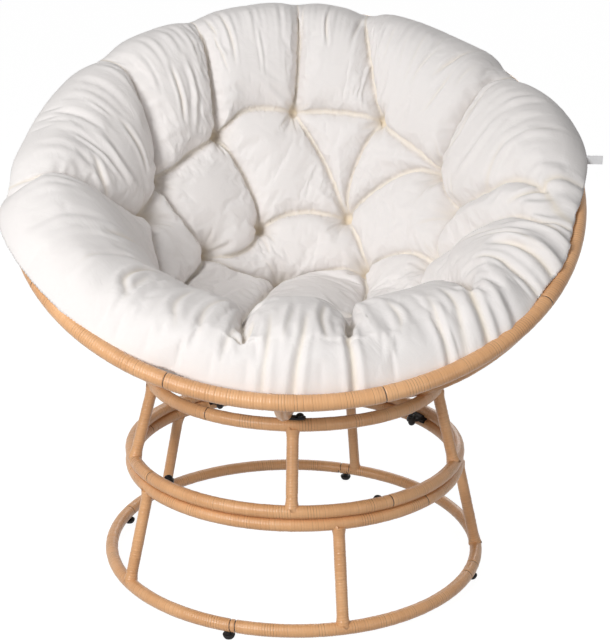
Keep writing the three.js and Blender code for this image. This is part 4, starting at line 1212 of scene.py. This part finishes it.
# The fold attribute carries the painted shade into the cover's colour: on the upper sheet along the creases,
# in the folds and round the tufts, and underneath in the tufts' dimples.
fold = np.zeros(cover_count)
fold[on_upper] = painted_cover_shade
fold[on_lower] = dimple_shade_strength * np.exp(-dimple_far / dimple_shade_reach)
painted_shade_layer = cover_mesh.attributes.new("fold", "FLOAT", "POINT")
painted_shade_layer.data.foreach_set("value", fold.astype(np.float32))
cover_mesh.attributes.remove(cover_mesh.attributes["spot"])
cover_mesh.polygons.foreach_set("use_smooth", np.ones(len(cover_mesh.polygons), bool))


def canvas_material():
    """Cream cotton canvas: a plain weave of fine threads with slubs, and a painted shade, darker
    and warmer than the cream, down in the creases and dimples, where the light comes through the cloth."""
    paint = bpy.data.materials.new("cream canvas")
    tree = fresh_tree(paint)
    spot = link_nodes(tree, "ShaderNodeTexCoord")
    tint = link_nodes(tree, "ShaderNodeTexNoise", Vector=spot.outputs["Object"], Scale=5.0, Detail=3.0)
    cream = link_nodes(tree, "ShaderNodeMix", data_type="RGBA", in0=tint.outputs[0],
                       in6=(0.83, 0.79, 0.768, 1), in7=(0.87, 0.84, 0.825, 1))
    # The fold attribute is painted shade: it mixes the cream towards a darker, warmer colour.
    painted_shade_share = link_nodes(tree, "ShaderNodeAttribute", attribute_name="fold")
    cream_with_painted_shade = link_nodes(tree, "ShaderNodeMix", data_type="RGBA", in0=painted_shade_share.outputs["Fac"],
                      in6=cream.outputs[2], in7=(0.80, 0.69, 0.51, 1))
    weave = link_nodes(tree, "ShaderNodeTexNoise", Vector=spot.outputs["Object"], Scale=700.0, Detail=2.0)
    crumple = link_nodes(tree, "ShaderNodeTexNoise", Vector=spot.outputs["Object"], Scale=20.0, Detail=3.0,
                         Distortion=1.2)
    crumpled = link_nodes(tree, "ShaderNodeBump", Strength=0.30, Distance=0.006, Height=crumple.outputs[0])
    raised = link_nodes(tree, "ShaderNodeBump", Strength=0.2, Distance=0.0003, Height=weave.outputs[0],
                        Normal=crumpled.outputs[0])
    cloth = link_nodes(tree, "ShaderNodeBsdfPrincipled", Base_Color=cream_with_painted_shade.outputs[2], Roughness=0.85,
                       Specular_IOR_Level=0.25, Sheen_Weight=0.15, Normal=raised.outputs[0])
    link_nodes(tree, "ShaderNodeOutputMaterial", Surface=cloth.outputs[0])
    return paint


cover_mesh.materials.append(canvas_material())
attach(cushion, "cushion_body")
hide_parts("cushion")

# The tag: a blank white tape folded double and caught in the sewn edge at the right. It
# bends a little out of its plane, and its fold is at the outer end.
tag_low, tag_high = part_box("cushion_tag")
tag_across, tag_along, tag_sheet = 13, 25, 0.0009
tag_bend, tag_bend_turns, tag_end_roundness = 0.0006, 0.6, 14


def tag_piece():
    """A closed flat loop: at the share s of its length and w of its width the middle lies at
    (low x + s * length, middle y + bend * sin(2π * turns * s), low z + w * width), and the
    two faces stand off it by half a sheet * sqrt(1 - |2 s - 1|^roundness), so they close at
    the fold and at the sewn end."""
    s = np.linspace(0, 1, tag_along)
    bend = tag_bend * np.sin(full_turn * tag_bend_turns * s)
    half = tag_sheet / 2 * np.sqrt(np.clip(1 - np.abs(2 * s - 1) ** tag_end_roundness, 0, 1))
    x = tag_low[0] + s * (tag_high[0] - tag_low[0])
    y = (tag_low[1] + tag_high[1]) / 2 + bend
    w = np.linspace(0, 1, tag_across)
    z = tag_low[2] + w * (tag_high[2] - tag_low[2])
    loop_x = np.r_[x, x[-2:0:-1]]
    loop_y = np.r_[y - half, (y + half)[-2:0:-1]]
    count = len(loop_x)
    loops = np.stack([np.tile(loop_x, tag_across), np.tile(loop_y, tag_across), np.repeat(z, count)], -1)
    mesh = bpy.data.meshes.new("cushion_tag_tape")
    mesh.from_pydata(loops.tolist(), [], ring_faces(tag_across, count))
    return add_object("cushion_tag_tape", mesh)


def tape_material():
    """White woven tape: fine ribs across it, and threads of two whites."""
    paint = bpy.data.materials.new("white woven tape")
    tree = fresh_tree(paint)
    spot = link_nodes(tree, "ShaderNodeTexCoord")
    ribs = link_nodes(tree, "ShaderNodeTexWave", Vector=spot.outputs["Object"], Scale=420.0, Distortion=0.6)
    threads = link_nodes(tree, "ShaderNodeTexNoise", Vector=spot.outputs["Object"], Scale=1500.0, Detail=2.0)
    colour = link_nodes(tree, "ShaderNodeMix", data_type="RGBA", in0=threads.outputs[0],
                        in6=(0.70, 0.70, 0.71, 1), in7=(0.82, 0.82, 0.83, 1))
    raised = link_nodes(tree, "ShaderNodeBump", Strength=0.4, Distance=0.0002, Height=ribs.outputs["Fac"])
    cloth = link_nodes(tree, "ShaderNodeBsdfPrincipled", Base_Color=colour.outputs[2], Roughness=0.7,
                       Normal=raised.outputs[0])
    link_nodes(tree, "ShaderNodeOutputMaterial", Surface=cloth.outputs[0])
    return paint


tag = tag_piece()
tag.data.materials.append(tape_material())
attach(tag, "cushion_body")
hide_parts("cushion_tag")

bpy.context.view_layer.update()
